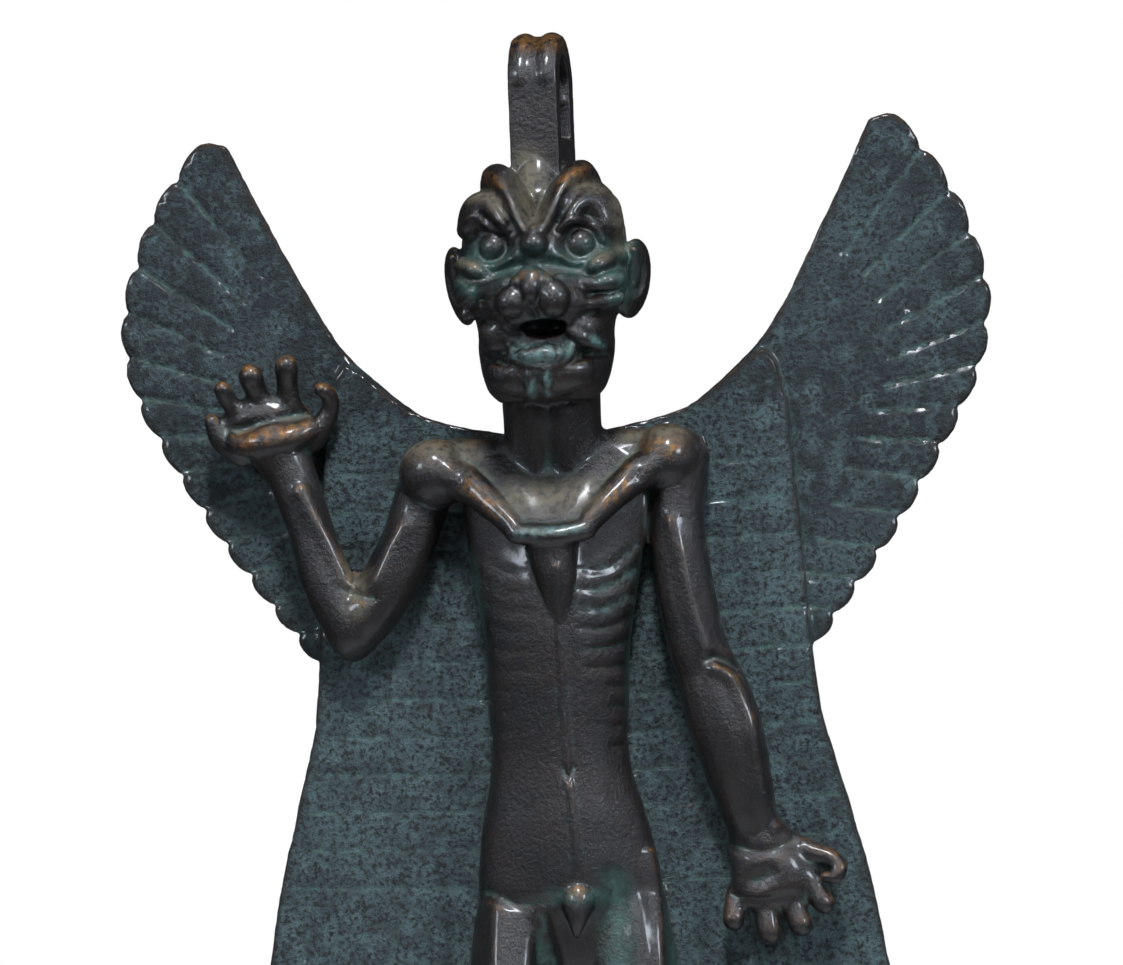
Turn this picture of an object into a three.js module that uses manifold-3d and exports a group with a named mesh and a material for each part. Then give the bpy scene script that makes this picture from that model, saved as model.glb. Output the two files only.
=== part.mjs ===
// Bronze figurine of a winged demon, cast in one piece with its hanging loop and low base.
// Millimetres, +Z up. The figure faces -Y, the viewer's right is +X, and the base stands on Z = 0.

import * as THREE from 'three';
import { mergeVertices } from 'three/addons/utils/BufferGeometryUtils.js';
import Module from 'manifold-3d';

const wasm = await Module();
wasm.setup();

// Driving dimensions
const overallHeight = 150;
const shortestEdge = 0.16;
const base = { width: 44, depth: 56, height: 7.5, chamfer: 1.2 };
const loop = { width: 5, depth: 10, strap: 2.4, bottom: 133, holeBottom: 139.4, grooveLength: 5, turn: -6 };

// Both wings of a side are flat plates swept back from the body, the lower one lying in front
const wing = { thickness: 2.2, sweep: 0.12, upperY: 2.4, lowerY: 1.3, incision: 0.6 };
const upperWing = {
  feathers: 14,
  firstFeather: 5.0,
  lastFeather: 3.7,
  lobe: 0.8,
  featherEdge: [[33.9, 140.9], [39.2, 134], [42.6, 124.7], [42.3, 117.6], [39.6, 111.4], [33.2, 100.7], [24.3, 88.6]],
  bodyEdge: [[20, 88], [6, 96], [5, 107], [13.4, 112.5], [19.4, 117.6], [22.3, 121.2], [26, 128], [29.4, 134.6],
    [32.2, 140.4]],
  firstDip: 52,
  dipStep: 8.4,
  lastDip: -13,
  firstLine: 12.5,
  lineStep: 0.7,
};
const lowerWing = {
  feathers: 8,
  lobe: 1.3,
  topEdge: [[3, 110], [13.6, 112.6], [20.8, 118], [23, 112.6]],
  outerEdge: [[23, 112.6], [23.9, 100], [24.6, 88.2], [25.2, 82], [26.7, 76], [28.8, 68], [30.4, 60], [31.8, 50],
    [32.8, 40]],
  hem: [[32.8, 40], [31.4, 32.6], [25, 28.6], [17, 27.4], [10, 28.6]],
  bodyEdge: [[8.4, 38], [6.4, 48], [3, 56]],
  barbTop: 107,
  barbBottom: 66,
  barbStep: 3.75,
  quillTop: 62.5,
};

// Rings of the body from the bottom up: middle of the ring, half width, half depth
const trunkRings = [
  [0, 0.6, 56, 6.6, 3.4],
  [0, -0.4, 61, 9.0, 4.6],
  [0, -0.8, 66, 9.0, 5.0],
  [0, -0.9, 71.5, 8.2, 5.0],
  [0, -0.8, 78, 6.7, 4.8],
  [0, -0.9, 84.5, 6.9, 5.1],
  [0, -1.1, 91, 7.3, 5.6],
  [0, -1.4, 96.5, 8.6, 6.1],
  [0, -1.7, 100.4, 9.1, 6.3],
  [0, -0.7, 104.6, 9.2, 4.9],
  [0, 0.2, 109.5, 7.4, 3.6],
];
const keel = 0.12;
const neckRings = [[0, -0.2, 104, 5.8, 4.8], [0, -0.9, 109, 5.0, 4.6], [0, -1.7, 114, 5.0, 5.2], [0, -2.2, 119, 5.4, 5.6]];
const ribs = { count: 4, top: 96, step: 4.4 };

// Limbs are points with a radius
const shoulders = [[-12.6, -0.2, 107, 3.5], [-6, 0.4, 107.4, 3.4], [6, 0.4, 107.4, 3.4], [12.6, -0.2, 107, 3.5]];
const collarbone = [[12.4, -1.2, 106.4, 3], [8, -3.2, 104.2, 2.4], [3.4, -6.2, 100.6, 1.9]];
const breastbone = [[-3, -7.2, 100, 1.3], [3, -7.2, 100, 1.3]];
const breastTip = [[0, -7.2, 99, 2.1], [0, -6.9, 93.6, 1]];
const tendon = [[1.7, -5.2, 116, 1.3], [1.6, -4.6, 110.5, 1.2], [1.4, -4.4, 105.5, 1.2]];
const organ = [[0, -4.6, 64, 1.7], [0, -6.4, 62.4, 1.6], [0, -6.8, 60.4, 0.8]];

// The viewer's left arm is raised with its palm forward
const raisedArm = {
  upper: [[-12.8, -0.6, 106.4, 3.5], [-14.7, -0.9, 101.4, 3.2], [-17, -0.8, 96.4, 3.2], [-20.8, 0, 92, 3.2]],
  fore: [[-21, 0, 91.9, 3.2], [-23.4, 0.4, 96.4, 2.5], [-25, 1, 102.6, 2.4], [-26.7, 1.8, 108.4, 2.7]],
  palm: { middle: [-28.4, 2.4, 112.4], half: [5.4, 2.4, 3] },
  heel: { middle: [-27.4, 0.8, 110.8], half: [3.8, 1.9, 1.7] },
  littleFinger: [[-31.6, 2, 112, 1.5], [-34.2, 1.6, 113.4, 0.8]],
  fingerRoots: [[-31.2, 113.6], [-29.2, 114.4], [-26.6, 114.8]],
  fingerTips: [[-32.9, 116, 0.95], [-29.9, 117.2, 1.25], [-26.4, 117.9, 1.15]],
  thumb: [[-24, 1.8, 110.4, 1.3], [-22.2, 1.6, 113.6, 0.9], [-23, 0.6, 115.4, 0.85]],
};

// The other arm hangs with the back of its hand forward
const loweredArm = {
  whole: [[12.4, -0.6, 106.6, 3.5], [11.8, -1, 101, 2.8], [12.4, -1.2, 95, 3.2], [13.4, -1.2, 88.4, 3.2],
    [14.8, -1, 84.4, 4.1], [16.4, -0.7, 78.4, 3.7], [18.1, 0, 71, 2.8]],
  hand: [[18.2, 0.4, 70.6, 2.8, 2.2], [19.6, 0.4, 67.6, 4.2, 2.5], [20, 0.4, 64, 4.7, 2.4], [19.8, 0.4, 62.4, 4, 1.8]],
  fingerRoots: [[17, 64], [19, 63.6], [21.6, 63.8], [23.2, 65]],
  fingerTips: [[15.9, 62, 1.15], [19.1, 60.4, 1.35], [22.7, 60.6, 1.35], [25, 62.4, 1.2]],
  thumb: [[22, 0.6, 67.6, 1.4], [25.4, 0.4, 67, 1], [26.4, -0.2, 65.6, 0.8]],
};

// The legs stand astride and end in a bird's feet; a ring is moved forward by its share of the stride
const leg = {
  rings: [
    [4.8, 0.4, 65, 4.0, 4.2],
    [5.7, -0.8, 58.5, 4.4, 5.0],
    [6.2, -1.8, 51, 4.4, 5.2],
    [6.4, -3.0, 43, 3.7, 4.6],
    [6.4, -3.6, 36.5, 3.7, 4.5],
    [6.5, -2.2, 30, 3.6, 4.4],
    [6.8, -1.2, 22, 2.9, 3.5],
    [7.0, -1.4, 14, 2.4, 2.8],
    [7.0, -1.8, 7, 3.3, 3.7],
  ],
  stride: { left: -4.5, right: 1.5 },
  strideTop: 60,
  toeLength: 11.5,
  spurLength: 8,
  toeSpread: 27,
};

// The head is measured from its middle, before it is turned a little to the viewer's left
const head = {
  middle: [0, -3.2, 125.6],
  turn: -6,
  rings: [
    [0, -3.1, 113.6, 3, 3.6],
    [0, -1.9, 115.4, 5.6, 6.4],
    [0, -1.0, 118.5, 6.9, 7.8],
    [0, -0.4, 122.5, 7.6, 8.4],
    [0, 0, 126.5, 8.3, 8.6],
    [0, 0.3, 130.5, 8.3, 8.3],
    [0, 0.6, 133.8, 7, 6.8],
    [0, 0.8, 136, 4.8, 4.6],
  ],
  brow: [[0.9, -8.8, 4.4, 1.1], [2.8, -8.2, 7.4, 1.4], [4.6, -5.6, 10, 1.4]],
  outerBrow: [[2.4, -8, 4.6, 0.9], [4.8, -7.2, 7, 1.1], [7, -4.8, 5.6, 1.1], [7.6, -4, 2.4, 0.9]],
  eye: { middle: [4.1, -7.6, 2.9], half: [1.5, 1.4, 1.7] },
  boss: { middle: [0, -8.6, 3], half: [1.3, 1.2, 1.3] },
  muzzle: { middle: [0, -7.6, -2.8], half: [6, 3.4, 3.4] },
  nose: [[0, -8.4, 1, 1.4], [0, -10.2, -0.8, 1.7]],
  nostril: { middle: [1.6, -10.2, -2.2], half: [1.5, 1.4, 1.3] },
  cheeks: { count: 3, inner: [2.8, -8.6, -0.4], outer: [7.4, -3.6, 1.4], step: -2.1, radius: 1 },
  mouth: { middle: [0, -10, -4.6], half: [3, 2.4, 1] },
  lip: [[-5, -7, -6.6, 1.1], [0, -9.8, -7, 1.3], [5, -7, -6.6, 1.1]],
  chin: { middle: [0, -7, -9], half: [4.8, 2.8, 2.4] },
  beard: [[1.1, -9.2, -8.6, 1], [0.7, -8.8, -11, 0.6]],
  ear: { middle: [9, 0.4, -0.4], half: [1.2, 2.6, 3.8], tilt: 8, flare: 24 },
};

const spine = [[0, 4, 106, 1.5], [0, 4.7, 90, 1.7], [0, 4.4, 70, 1.9]];
const tail = { joints: 6, bottom: 57.5, rise: 23, start: 4.6, bow: 3.6, radius: 2.7, taper: 1.2, waist: 0.75 };

// Solids
function toSolid(geometry) {
  const plain = geometry.clone();
  plain.deleteAttribute('normal');
  plain.deleteAttribute('uv');
  const merged = mergeVertices(plain, 1e-4);
  return new wasm.Manifold(new wasm.Mesh({
    numProp: 3,
    vertProperties: new Float32Array(merged.attributes.position.array),
    triVerts: new Uint32Array(merged.index.array),
  }));
}

function toGeometry({ points, faces }) {
  const geometry = new THREE.BufferGeometry().setFromPoints(points);
  geometry.setIndex(faces.flat());
  geometry.computeVertexNormals();
  return geometry;
}

function join(solids) {
  return solids.reduce((whole, solid) => whole.add(solid));
}

function flipped(geometry) {
  const copy = geometry.clone();
  const corners = copy.index.array;
  for (let i = 0; i < corners.length; i += 3) [corners[i], corners[i + 1]] = [corners[i + 1], corners[i]];
  return copy;
}

function outwards(geometry) {
  const solid = toSolid(geometry);
  return solid.volume() < 0 ? toSolid(flipped(geometry)) : solid;
}

// Joins leave short edges and slivers where two skins cross; closing them up keeps every face sound
function faceHeight(points, face) {
  const [a, b, c] = face.map((corner) => points[corner]);
  const sides = [a.distanceTo(b), b.distanceTo(c), c.distanceTo(a)];
  const doubleArea = b.clone().sub(a).cross(c.clone().sub(a)).length();
  return doubleArea / Math.max(...sides);
}

function faceNormal(points, face) {
  const [a, b, c] = face.map((corner) => points[corner]);
  return b.clone().sub(a).cross(c.clone().sub(a)).normalize();
}

class Skin {
  constructor(solid) {
    const mesh = solid.getMesh();
    this.points = Array.from({ length: mesh.vertProperties.length / 3 }, (_, i) =>
      new THREE.Vector3(...mesh.vertProperties.slice(3 * i, 3 * i + 3)));
    this.faces = new Set();
    this.around = this.points.map(() => new Set());
    for (let i = 0; i < mesh.triVerts.length; i += 3) this.add([...mesh.triVerts.slice(i, i + 3)]);
  }

  add(face) {
    this.faces.add(face);
    for (const corner of face) this.around[corner].add(face);
  }

  remove(face) {
    this.faces.delete(face);
    for (const corner of face) this.around[corner].delete(face);
  }

  neighbours(corner) {
    return new Set([...this.around[corner]].flat().filter((other) => other !== corner));
  }

  // Faces that would replace the old ones have to point the same way and be no thinner than a sliver
  isSound(oldFaces, newFaces, thinnest) {
    return newFaces.every((face, i) => {
      if (faceHeight(this.points, face) < thinnest) return false;
      if (faceHeight(this.points, oldFaces[i]) < thinnest) return true;
      return faceNormal(this.points, oldFaces[i]).dot(faceNormal(this.points, face)) > 0.5;
    });
  }

  close(keep, gone, thinnest) {
    const nextToGone = this.neighbours(gone);
    const shared = [...this.neighbours(keep)].filter((corner) => nextToGone.has(corner));
    if (shared.length !== 2) return false;
    const doomed = [...this.around[gone]].filter((face) => face.includes(keep));
    const moved = [...this.around[gone]].filter((face) => !face.includes(keep));
    const renewed = moved.map((face) => face.map((corner) => (corner === gone ? keep : corner)));
    if (!this.isSound(moved, renewed, thinnest)) return false;
    [...doomed, ...moved].forEach((face) => this.remove(face));
    renewed.forEach((face) => this.add(face));
    return true;
  }

  // A face that is thin but has no short edge gives its long edge to the face beyond it
  swap(face, thinnest) {
    const length = (i) => this.points[face[i]].distanceTo(this.points[face[(i + 1) % 3]]);
    const longest = [0, 1, 2].reduce((best, i) => (length(i) > length(best) ? i : best));
    const [from, to, tip] = [face[longest], face[(longest + 1) % 3], face[(longest + 2) % 3]];
    const beyond = [...this.around[from]].find((other) => other !== face && other.includes(to));
    const far = beyond.find((corner) => corner !== from && corner !== to);
    if (this.neighbours(tip).has(far)) return false;
    const renewed = [[from, far, tip], [far, to, tip]];
    if (!this.isSound([beyond, beyond], renewed, thinnest)) return false;
    this.remove(face);
    this.remove(beyond);
    renewed.forEach((added) => this.add(added));
    return true;
  }

  tidy(shortest, thinnest) {
    let changed = 1;
    for (let pass = 0; pass < 12 && changed > 0; pass += 1) {
      changed = 0;
      for (const face of [...this.faces]) {
        if (!this.faces.has(face)) continue;
        const isThin = faceHeight(this.points, face) < thinnest;
        const limit = isThin ? shortest * 4 : shortest;
        const edges = [0, 1, 2].map((i) => [face[i], face[(i + 1) % 3]]);
        const short = edges.filter(([a, b]) => this.points[a].distanceTo(this.points[b]) < limit);
        const mended = (isThin && this.swap(face, thinnest))
          || short.some(([a, b]) => this.close(a, b, thinnest) || this.close(b, a, thinnest));
        changed += Number(mended);
      }
    }
    return { points: this.points, faces: [...this.faces] };
  }
}

// The same points on the other side of the figure
function mirrored(points, side) {
  return points.map(([x, ...rest]) => [side * x, ...rest]);
}

function turnedAbout(solid, [x, y], degrees) {
  return solid.translate([-x, -y, 0]).rotate([0, 0, degrees]).translate([x, y, 0]);
}

function ball({ middle, half }, turn = [0, 0, 0], sides = 8) {
  const geometry = new THREE.SphereGeometry(1, sides, Math.round(sides * 0.6));
  geometry.rotateX(Math.PI / 2);
  geometry.scale(...half);
  const euler = new THREE.Euler(...turn.map(THREE.MathUtils.degToRad));
  geometry.applyMatrix4(new THREE.Matrix4().makeRotationFromEuler(euler));
  geometry.translate(...middle);
  return toSolid(geometry);
}

// The values of a list of stations, followed by a smooth curve from t = 0 to 1
function stationAt(stations, t) {
  const place = t * (stations.length - 1);
  const index = Math.min(Math.floor(place), stations.length - 2);
  const pick = (offset) => stations[THREE.MathUtils.clamp(index + offset, 0, stations.length - 1)];
  const [before, from, to, after] = [pick(-1), pick(0), pick(1), pick(2)];
  const f = place - index;
  return from.map((value, k) => {
    const slopeIn = (to[k] - before[k]) / 2;
    const slopeOut = (after[k] - value) / 2;
    const square = 3 * (to[k] - value) - 2 * slopeIn - slopeOut;
    const cubic = 2 * (value - to[k]) + slopeIn + slopeOut;
    return value + slopeIn * f + square * f ** 2 + cubic * f ** 3;
  });
}

// A place on the path, the direction of the path there, and the two directions square to it
function frameAt(stations, t, level = false) {
  const station = stationAt(stations, t);
  const ahead = new THREE.Vector3(...stationAt(stations, Math.min(t + 0.01, 1)));
  const behind = new THREE.Vector3(...stationAt(stations, Math.max(t - 0.01, 0)));
  const along = ahead.sub(behind).normalize();
  if (level) along.set(0, 0, Math.sign(along.z));
  const side = new THREE.Vector3().crossVectors(along, new THREE.Vector3(0, 1, 0)).normalize();
  const front = new THREE.Vector3().crossVectors(side, along);
  return { middle: new THREE.Vector3(...station), along, side, front, station };
}

// A closed body through rings, flat at both ends; the section scales a ring by the angle from the front
function loft(rings, { sides = 12, section = () => 1, level = false } = {}) {
  const geometry = new THREE.CylinderGeometry(1, 1, 1, sides, rings.length - 1);
  const position = geometry.attributes.position;
  for (let i = 0; i < position.count; i += 1) {
    const radius = Math.hypot(position.getX(i), position.getZ(i));
    const angle = Math.atan2(position.getX(i), position.getZ(i));
    const { middle, side, front, station } = frameAt(rings, 0.5 - position.getY(i), level);
    const reach = radius * section(angle);
    middle.addScaledVector(side, reach * station[3] * Math.sin(angle));
    middle.addScaledVector(front, -reach * station[4] * Math.cos(angle));
    position.setXYZ(i, ...middle.toArray());
  }
  return outwards(geometry);
}

// A round limb or ridge through its points, with round ends
function limb(points, { sides = 6, endRings = 1 } = {}) {
  const length = points.length - 1;
  const geometry = new THREE.CapsuleGeometry(1, length, endRings, sides, length);
  const position = geometry.attributes.position;
  for (let i = 0; i < position.count; i += 1) {
    const height = position.getY(i);
    const t = THREE.MathUtils.clamp(0.5 - height / length, 0, 1);
    const pastEnd = -Math.sign(height) * Math.max(Math.abs(height) - length / 2, 0);
    const { middle, along, side, front, station } = frameAt(points, t);
    middle.addScaledVector(along, pastEnd * station[3]);
    middle.addScaledVector(side, position.getX(i) * station[3]);
    middle.addScaledVector(front, -position.getZ(i) * station[3]);
    position.setXYZ(i, ...middle.toArray());
  }
  return outwards(geometry);
}

// Wings
function spline(points) {
  return new THREE.SplineCurve(points.map((point) => new THREE.Vector2(...point)));
}

// Notches between feather tips, whose spacing runs evenly from the first feather to the last
function notchesAlong(points, count, first = 1, last = 1) {
  const curve = spline(points);
  const total = count * (first + last) / 2;
  return Array.from({ length: count + 1 }, (_, i) => {
    const reached = i * first + (last - first) * i * (i - 1) / (2 * (count - 1));
    return curve.getPointAt(Math.min(reached / total, 1));
  });
}

// A row of round feather tips between the notches
function lobes(notches, height) {
  const points = notches.slice(0, -1).flatMap((notch, i) => {
    const across = notches[i + 1].clone().sub(notch);
    const out = new THREE.Vector2(-across.y, across.x).normalize();
    return [[0, 0], [0.25, 0.85], [0.65, 1]].map(([along, rise]) =>
      notch.clone().addScaledVector(across, along).addScaledVector(out, rise * height));
  });
  return [...points, notches[notches.length - 1]];
}

function plate(outline, side, middleY) {
  const shape = new THREE.Shape(outline.map((point) => new THREE.Vector2(side * point.x, point.y)));
  const geometry = new THREE.ExtrudeGeometry(shape, { depth: wing.thickness, bevelEnabled: false });
  geometry.translate(0, 0, -wing.thickness / 2);
  geometry.rotateX(Math.PI / 2);
  const position = geometry.attributes.position;
  for (let i = 0; i < position.count; i += 1) {
    position.setY(i, position.getY(i) + middleY + wing.sweep * Math.abs(position.getX(i)));
  }
  return toSolid(geometry);
}

// A three-sided bar lying edge down along the front of a wing, which cuts one incised line
function incision([from, to], side, middleY) {
  const onFront = ([x, z]) => new THREE.Vector3(side * x, middleY + wing.sweep * x - wing.thickness / 2, z);
  const start = onFront(from);
  const end = onFront(to);
  const geometry = new THREE.CylinderGeometry(wing.incision, wing.incision, start.distanceTo(end), 3);
  geometry.rotateX(Math.PI / 2);
  geometry.rotateZ(side * Math.PI / 2);
  geometry.lookAt(end.clone().sub(start));
  geometry.translate(...start.add(end).multiplyScalar(0.5).toArray());
  return toSolid(geometry);
}

// Lines running in from the notches of the upper wing, swinging from steep to level on the way down
function upperLines(notches) {
  return notches.slice(1, -1).map((notch, i) => {
    const dip = THREE.MathUtils.degToRad(Math.max(upperWing.firstDip - upperWing.dipStep * i, upperWing.lastDip));
    const length = upperWing.firstLine - upperWing.lineStep * i;
    return [[notch.x + 0.4, notch.y], [notch.x - length * Math.cos(dip), notch.y - length * Math.sin(dip)]];
  });
}

// Level lines across the lower wing, then quills fanning from them down to the hem
function lowerLines(hemNotches) {
  const edge = spline(lowerWing.outerEdge).getSpacedPoints(60);
  const edgeAt = (z) => edge.find((point) => point.y <= z).x;
  const count = Math.ceil((lowerWing.barbTop - lowerWing.barbBottom) / lowerWing.barbStep);
  const barbs = Array.from({ length: count }, (_, i) => {
    const z = lowerWing.barbTop - i * lowerWing.barbStep;
    return [[edgeAt(z) - 1, z], [6, z - 0.6]];
  });
  const quills = hemNotches.slice(1, -1).map((notch, i) =>
    [[notch.x, notch.y - 0.4], [26.5 - 3 * i, lowerWing.quillTop]]);
  return [...barbs, ...quills];
}

function wingsOnSide(side) {
  const notches = notchesAlong(
    upperWing.featherEdge, upperWing.feathers, upperWing.firstFeather, upperWing.lastFeather);
  const hemNotches = notchesAlong(lowerWing.hem, lowerWing.feathers);
  const upperOutline = [...lobes(notches, upperWing.lobe), ...spline(upperWing.bodyEdge).getSpacedPoints(16)];
  const lowerOutline = [
    ...spline(lowerWing.topEdge).getSpacedPoints(6).slice(0, -1),
    ...spline(lowerWing.outerEdge).getSpacedPoints(14).slice(0, -1),
    ...lobes(hemNotches, lowerWing.lobe),
    ...spline(lowerWing.bodyEdge).getSpacedPoints(3),
  ];
  const cut = (outline, lines, middleY) => plate(outline, side, middleY)
    .subtract(join(lines.map((line) => incision(line, side, middleY))));
  return join([
    cut(upperOutline, upperLines(notches), wing.upperY),
    cut(lowerOutline, lowerLines(hemNotches), wing.lowerY),
  ]);
}

// Body
function rib(side, i) {
  const z = ribs.top - i * ribs.step;
  const width = 7.8 - 0.3 * i;
  return limb(mirrored([
    [1.6, -6.4 + 0.12 * i, z - 1.4, 0.8],
    [width * 0.72, -4.9 + 0.15 * i, z - 0.8, 0.9],
    [width, -1.6, z + 1.2, 0.9],
  ], side), { sides: 5 });
}

function torso() {
  const bow = (angle) => 1 + keel * Math.max(0, Math.cos(angle)) ** 10;
  const pairs = [-1, 1].flatMap((side) => [
    limb(mirrored(collarbone, side)),
    limb(mirrored(tendon, side)),
    ...Array.from({ length: ribs.count }, (_, i) => rib(side, i)),
  ]);
  return join([
    loft(trunkRings, { sides: 14, section: bow, level: true }),
    loft(neckRings),
    limb(shoulders, { sides: 8 }),
    limb(breastbone),
    limb(breastTip),
    limb(organ),
    ...pairs,
  ]);
}

function raised() {
  const { upper, fore, palm, heel, littleFinger, fingerRoots, fingerTips, thumb } = raisedArm;
  const fingers = fingerRoots.map(([x, z], i) => {
    const [tipX, tipZ, radius] = fingerTips[i];
    return limb([[x, 2.2, z, radius * 0.9], [tipX, 1.6, tipZ - 0.6, radius * 0.9], [tipX, 0.3, tipZ, radius]]);
  });
  return join([limb(upper, { sides: 8 }), limb(fore, { sides: 8 }), ball(palm), ball(heel),
    limb(littleFinger), ...fingers, limb(thumb)]);
}

function lowered() {
  const { whole, hand, fingerRoots, fingerTips, thumb } = loweredArm;
  const fingers = fingerRoots.map(([x, z], i) => {
    const [tipX, tipZ, radius] = fingerTips[i];
    return limb([[x, -0.4, z, radius], [tipX, -0.2, tipZ, radius]]);
  });
  return join([limb(whole, { sides: 8 }), loft(hand, { sides: 10 }), ...fingers, limb(thumb)]);
}

// A bird's toe with a hooked claw, pointing forward at 0 degrees
function toe(side, y, degrees, length) {
  const angle = THREE.MathUtils.degToRad(degrees);
  const [ankleX] = leg.rings[leg.rings.length - 1];
  const at = (reach, z, radius) => [
    side * ankleX + Math.sin(angle) * reach * length, y - Math.cos(angle) * reach * length, base.height + z, radius];
  return limb([at(0, 1.8, 2.3), at(0.45, 1.4, 1.9), at(0.72, 1.1, 1.8), at(0.88, 1.4, 1.1), at(1.05, 0.2, 0.5)]);
}

function legOnSide(side, stride) {
  const rings = leg.rings.map(([x, y, z, width, depth]) => {
    const share = THREE.MathUtils.clamp((leg.strideTop - z) / (leg.strideTop - base.height), 0, 1);
    return [side * x, y + stride * share, z, width, depth];
  });
  const footY = rings[rings.length - 1][1];
  const toes = [-1, 0, 1].map((place) => toe(side, footY - 0.5, place * leg.toeSpread + side * 6, leg.toeLength));
  return join([loft(rings, { sides: 10, level: true }), ...toes, toe(side, footY + 0.5, 180, leg.spurLength)]);
}

// Head
function fromHead([dx, dy, dz, ...radius]) {
  const [x, y, z] = head.middle;
  return [x + dx, y + dy, z + dz, ...radius];
}

function headLimb(points, side = 1, sides = 6) {
  return limb(mirrored(points, side).map(fromHead), { sides });
}

function headBall({ middle, half }, side = 1, turn = [0, 0, 0]) {
  return ball({ middle: fromHead([side * middle[0], middle[1], middle[2]]), half }, turn, half[0] < 2 ? 6 : 8);
}

function faceSide(side) {
  const { count, inner, outer, step, radius } = head.cheeks;
  const folds = Array.from({ length: count }, (_, i) => headLimb([
    [inner[0], inner[1] - 0.3 * i, inner[2] + step * 0.6 * i, radius],
    [outer[0], outer[1], outer[2] + step * i, radius],
  ], side, 5));
  return join([
    headLimb(head.brow, side),
    headLimb(head.outerBrow, side),
    headBall(head.eye, side),
    headBall(head.nostril, side),
    headLimb(head.beard, side, 5),
    headBall(head.ear, side, [0, side * head.ear.tilt, side * -head.ear.flare]),
    ...folds,
  ]);
}

function demonHead() {
  const rings = head.rings.map(([x, y, z, width, depth]) => [x, y + head.middle[1], z, width, depth]);
  const whole = join([
    loft(rings, { sides: 14, level: true }),
    headBall(head.muzzle),
    headLimb(head.nose),
    headBall(head.boss),
    headBall(head.chin),
    headLimb(head.lip),
    faceSide(-1),
    faceSide(1),
  ]);
  return turnedAbout(whole.subtract(headBall(head.mouth)), head.middle, head.turn);
}

// A flat strap bent into a tall loop, with its hole running across the figure and a groove over its top
function arch(inset, bottom) {
  const half = loop.depth / 2 - inset;
  const springing = overallHeight - loop.depth / 2;
  const shape = new THREE.Shape();
  shape.moveTo(-half, bottom);
  shape.lineTo(half, bottom);
  shape.lineTo(half, springing);
  shape.absarc(0, springing, half, 0, Math.PI, false);
  shape.closePath();
  return shape;
}

function archSolid(shape, width, bevel) {
  const geometry = new THREE.ExtrudeGeometry(shape, {
    depth: width - 2 * bevel,
    bevelEnabled: bevel > 0,
    bevelThickness: bevel,
    bevelSize: bevel,
    bevelOffset: -bevel,
    bevelSegments: 1,
    curveSegments: 8,
  });
  geometry.translate(0, 0, bevel - width / 2);
  geometry.rotateX(Math.PI / 2);
  geometry.rotateZ(Math.PI / 2);
  return toSolid(geometry);
}

function hangingLoop() {
  const half = loop.depth / 2;
  const grooveEnd = overallHeight - loop.grooveLength;
  const groove = limb([
    [0, -half - 0.3, grooveEnd, 0.5],
    [0, -half + 0.4, overallHeight - 1.6, 0.8],
    [0, 0, overallHeight + 0.4, 0.8],
    [0, half - 0.4, overallHeight - 1.6, 0.8],
    [0, half + 0.3, grooveEnd, 0.5],
  ]);
  const strap = archSolid(arch(0, loop.bottom), loop.width, 0.6);
  const hole = archSolid(arch(loop.strap, loop.holeBottom), loop.width + 2, 0);
  return turnedAbout(strap.subtract(hole).subtract(groove), [0, 0], loop.turn);
}

// Back: a raised spine over a segmented tail that curls up between the wings
function back() {
  const { joints, bottom, rise, start, bow, radius, taper, waist } = tail;
  const steps = joints * 2;
  const points = Array.from({ length: steps + 1 }, (_, i) => {
    const f = i / steps;
    const full = radius - taper * f;
    return [0, start + bow * Math.sin(Math.PI * f), bottom + rise * f, i % 2 ? full : full * waist];
  });
  return join([limb(spine), limb(points)]);
}

function lowBase() {
  const { width, depth, height, chamfer } = base;
  const shape = new THREE.Shape([[-1, -1], [1, -1], [1, 1], [-1, 1]].map(([x, y]) =>
    new THREE.Vector2(x * width / 2, y * depth / 2)));
  const geometry = new THREE.ExtrudeGeometry(shape, {
    depth: height - chamfer,
    bevelThickness: chamfer,
    bevelSize: chamfer,
    bevelOffset: -chamfer,
    bevelSegments: 1,
  });
  const position = geometry.attributes.position;
  for (let i = 0; i < position.count; i += 1) position.setZ(i, Math.max(position.getZ(i), 0));
  return toSolid(geometry);
}

const figurine = join([
  lowBase(),
  wingsOnSide(-1),
  wingsOnSide(1),
  torso(),
  raised(),
  lowered(),
  legOnSide(-1, leg.stride.left),
  legOnSide(1, leg.stride.right),
  demonHead(),
  hangingLoop(),
  back(),
]);

const bronze = new THREE.MeshStandardMaterial({ color: 0x2b2a27, roughness: 0.42, metalness: 1 });
const cast = new THREE.Mesh(toGeometry(new Skin(figurine).tidy(shortestEdge, shortestEdge / 20)), bronze);
cast.name = 'demon_figurine';

const part = new THREE.Group();
part.add(cast);
export default part;
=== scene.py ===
import math

import bpy
import numpy as np
from mathutils import Matrix, Vector
from mathutils.bvhtree import BVHTree


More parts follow.
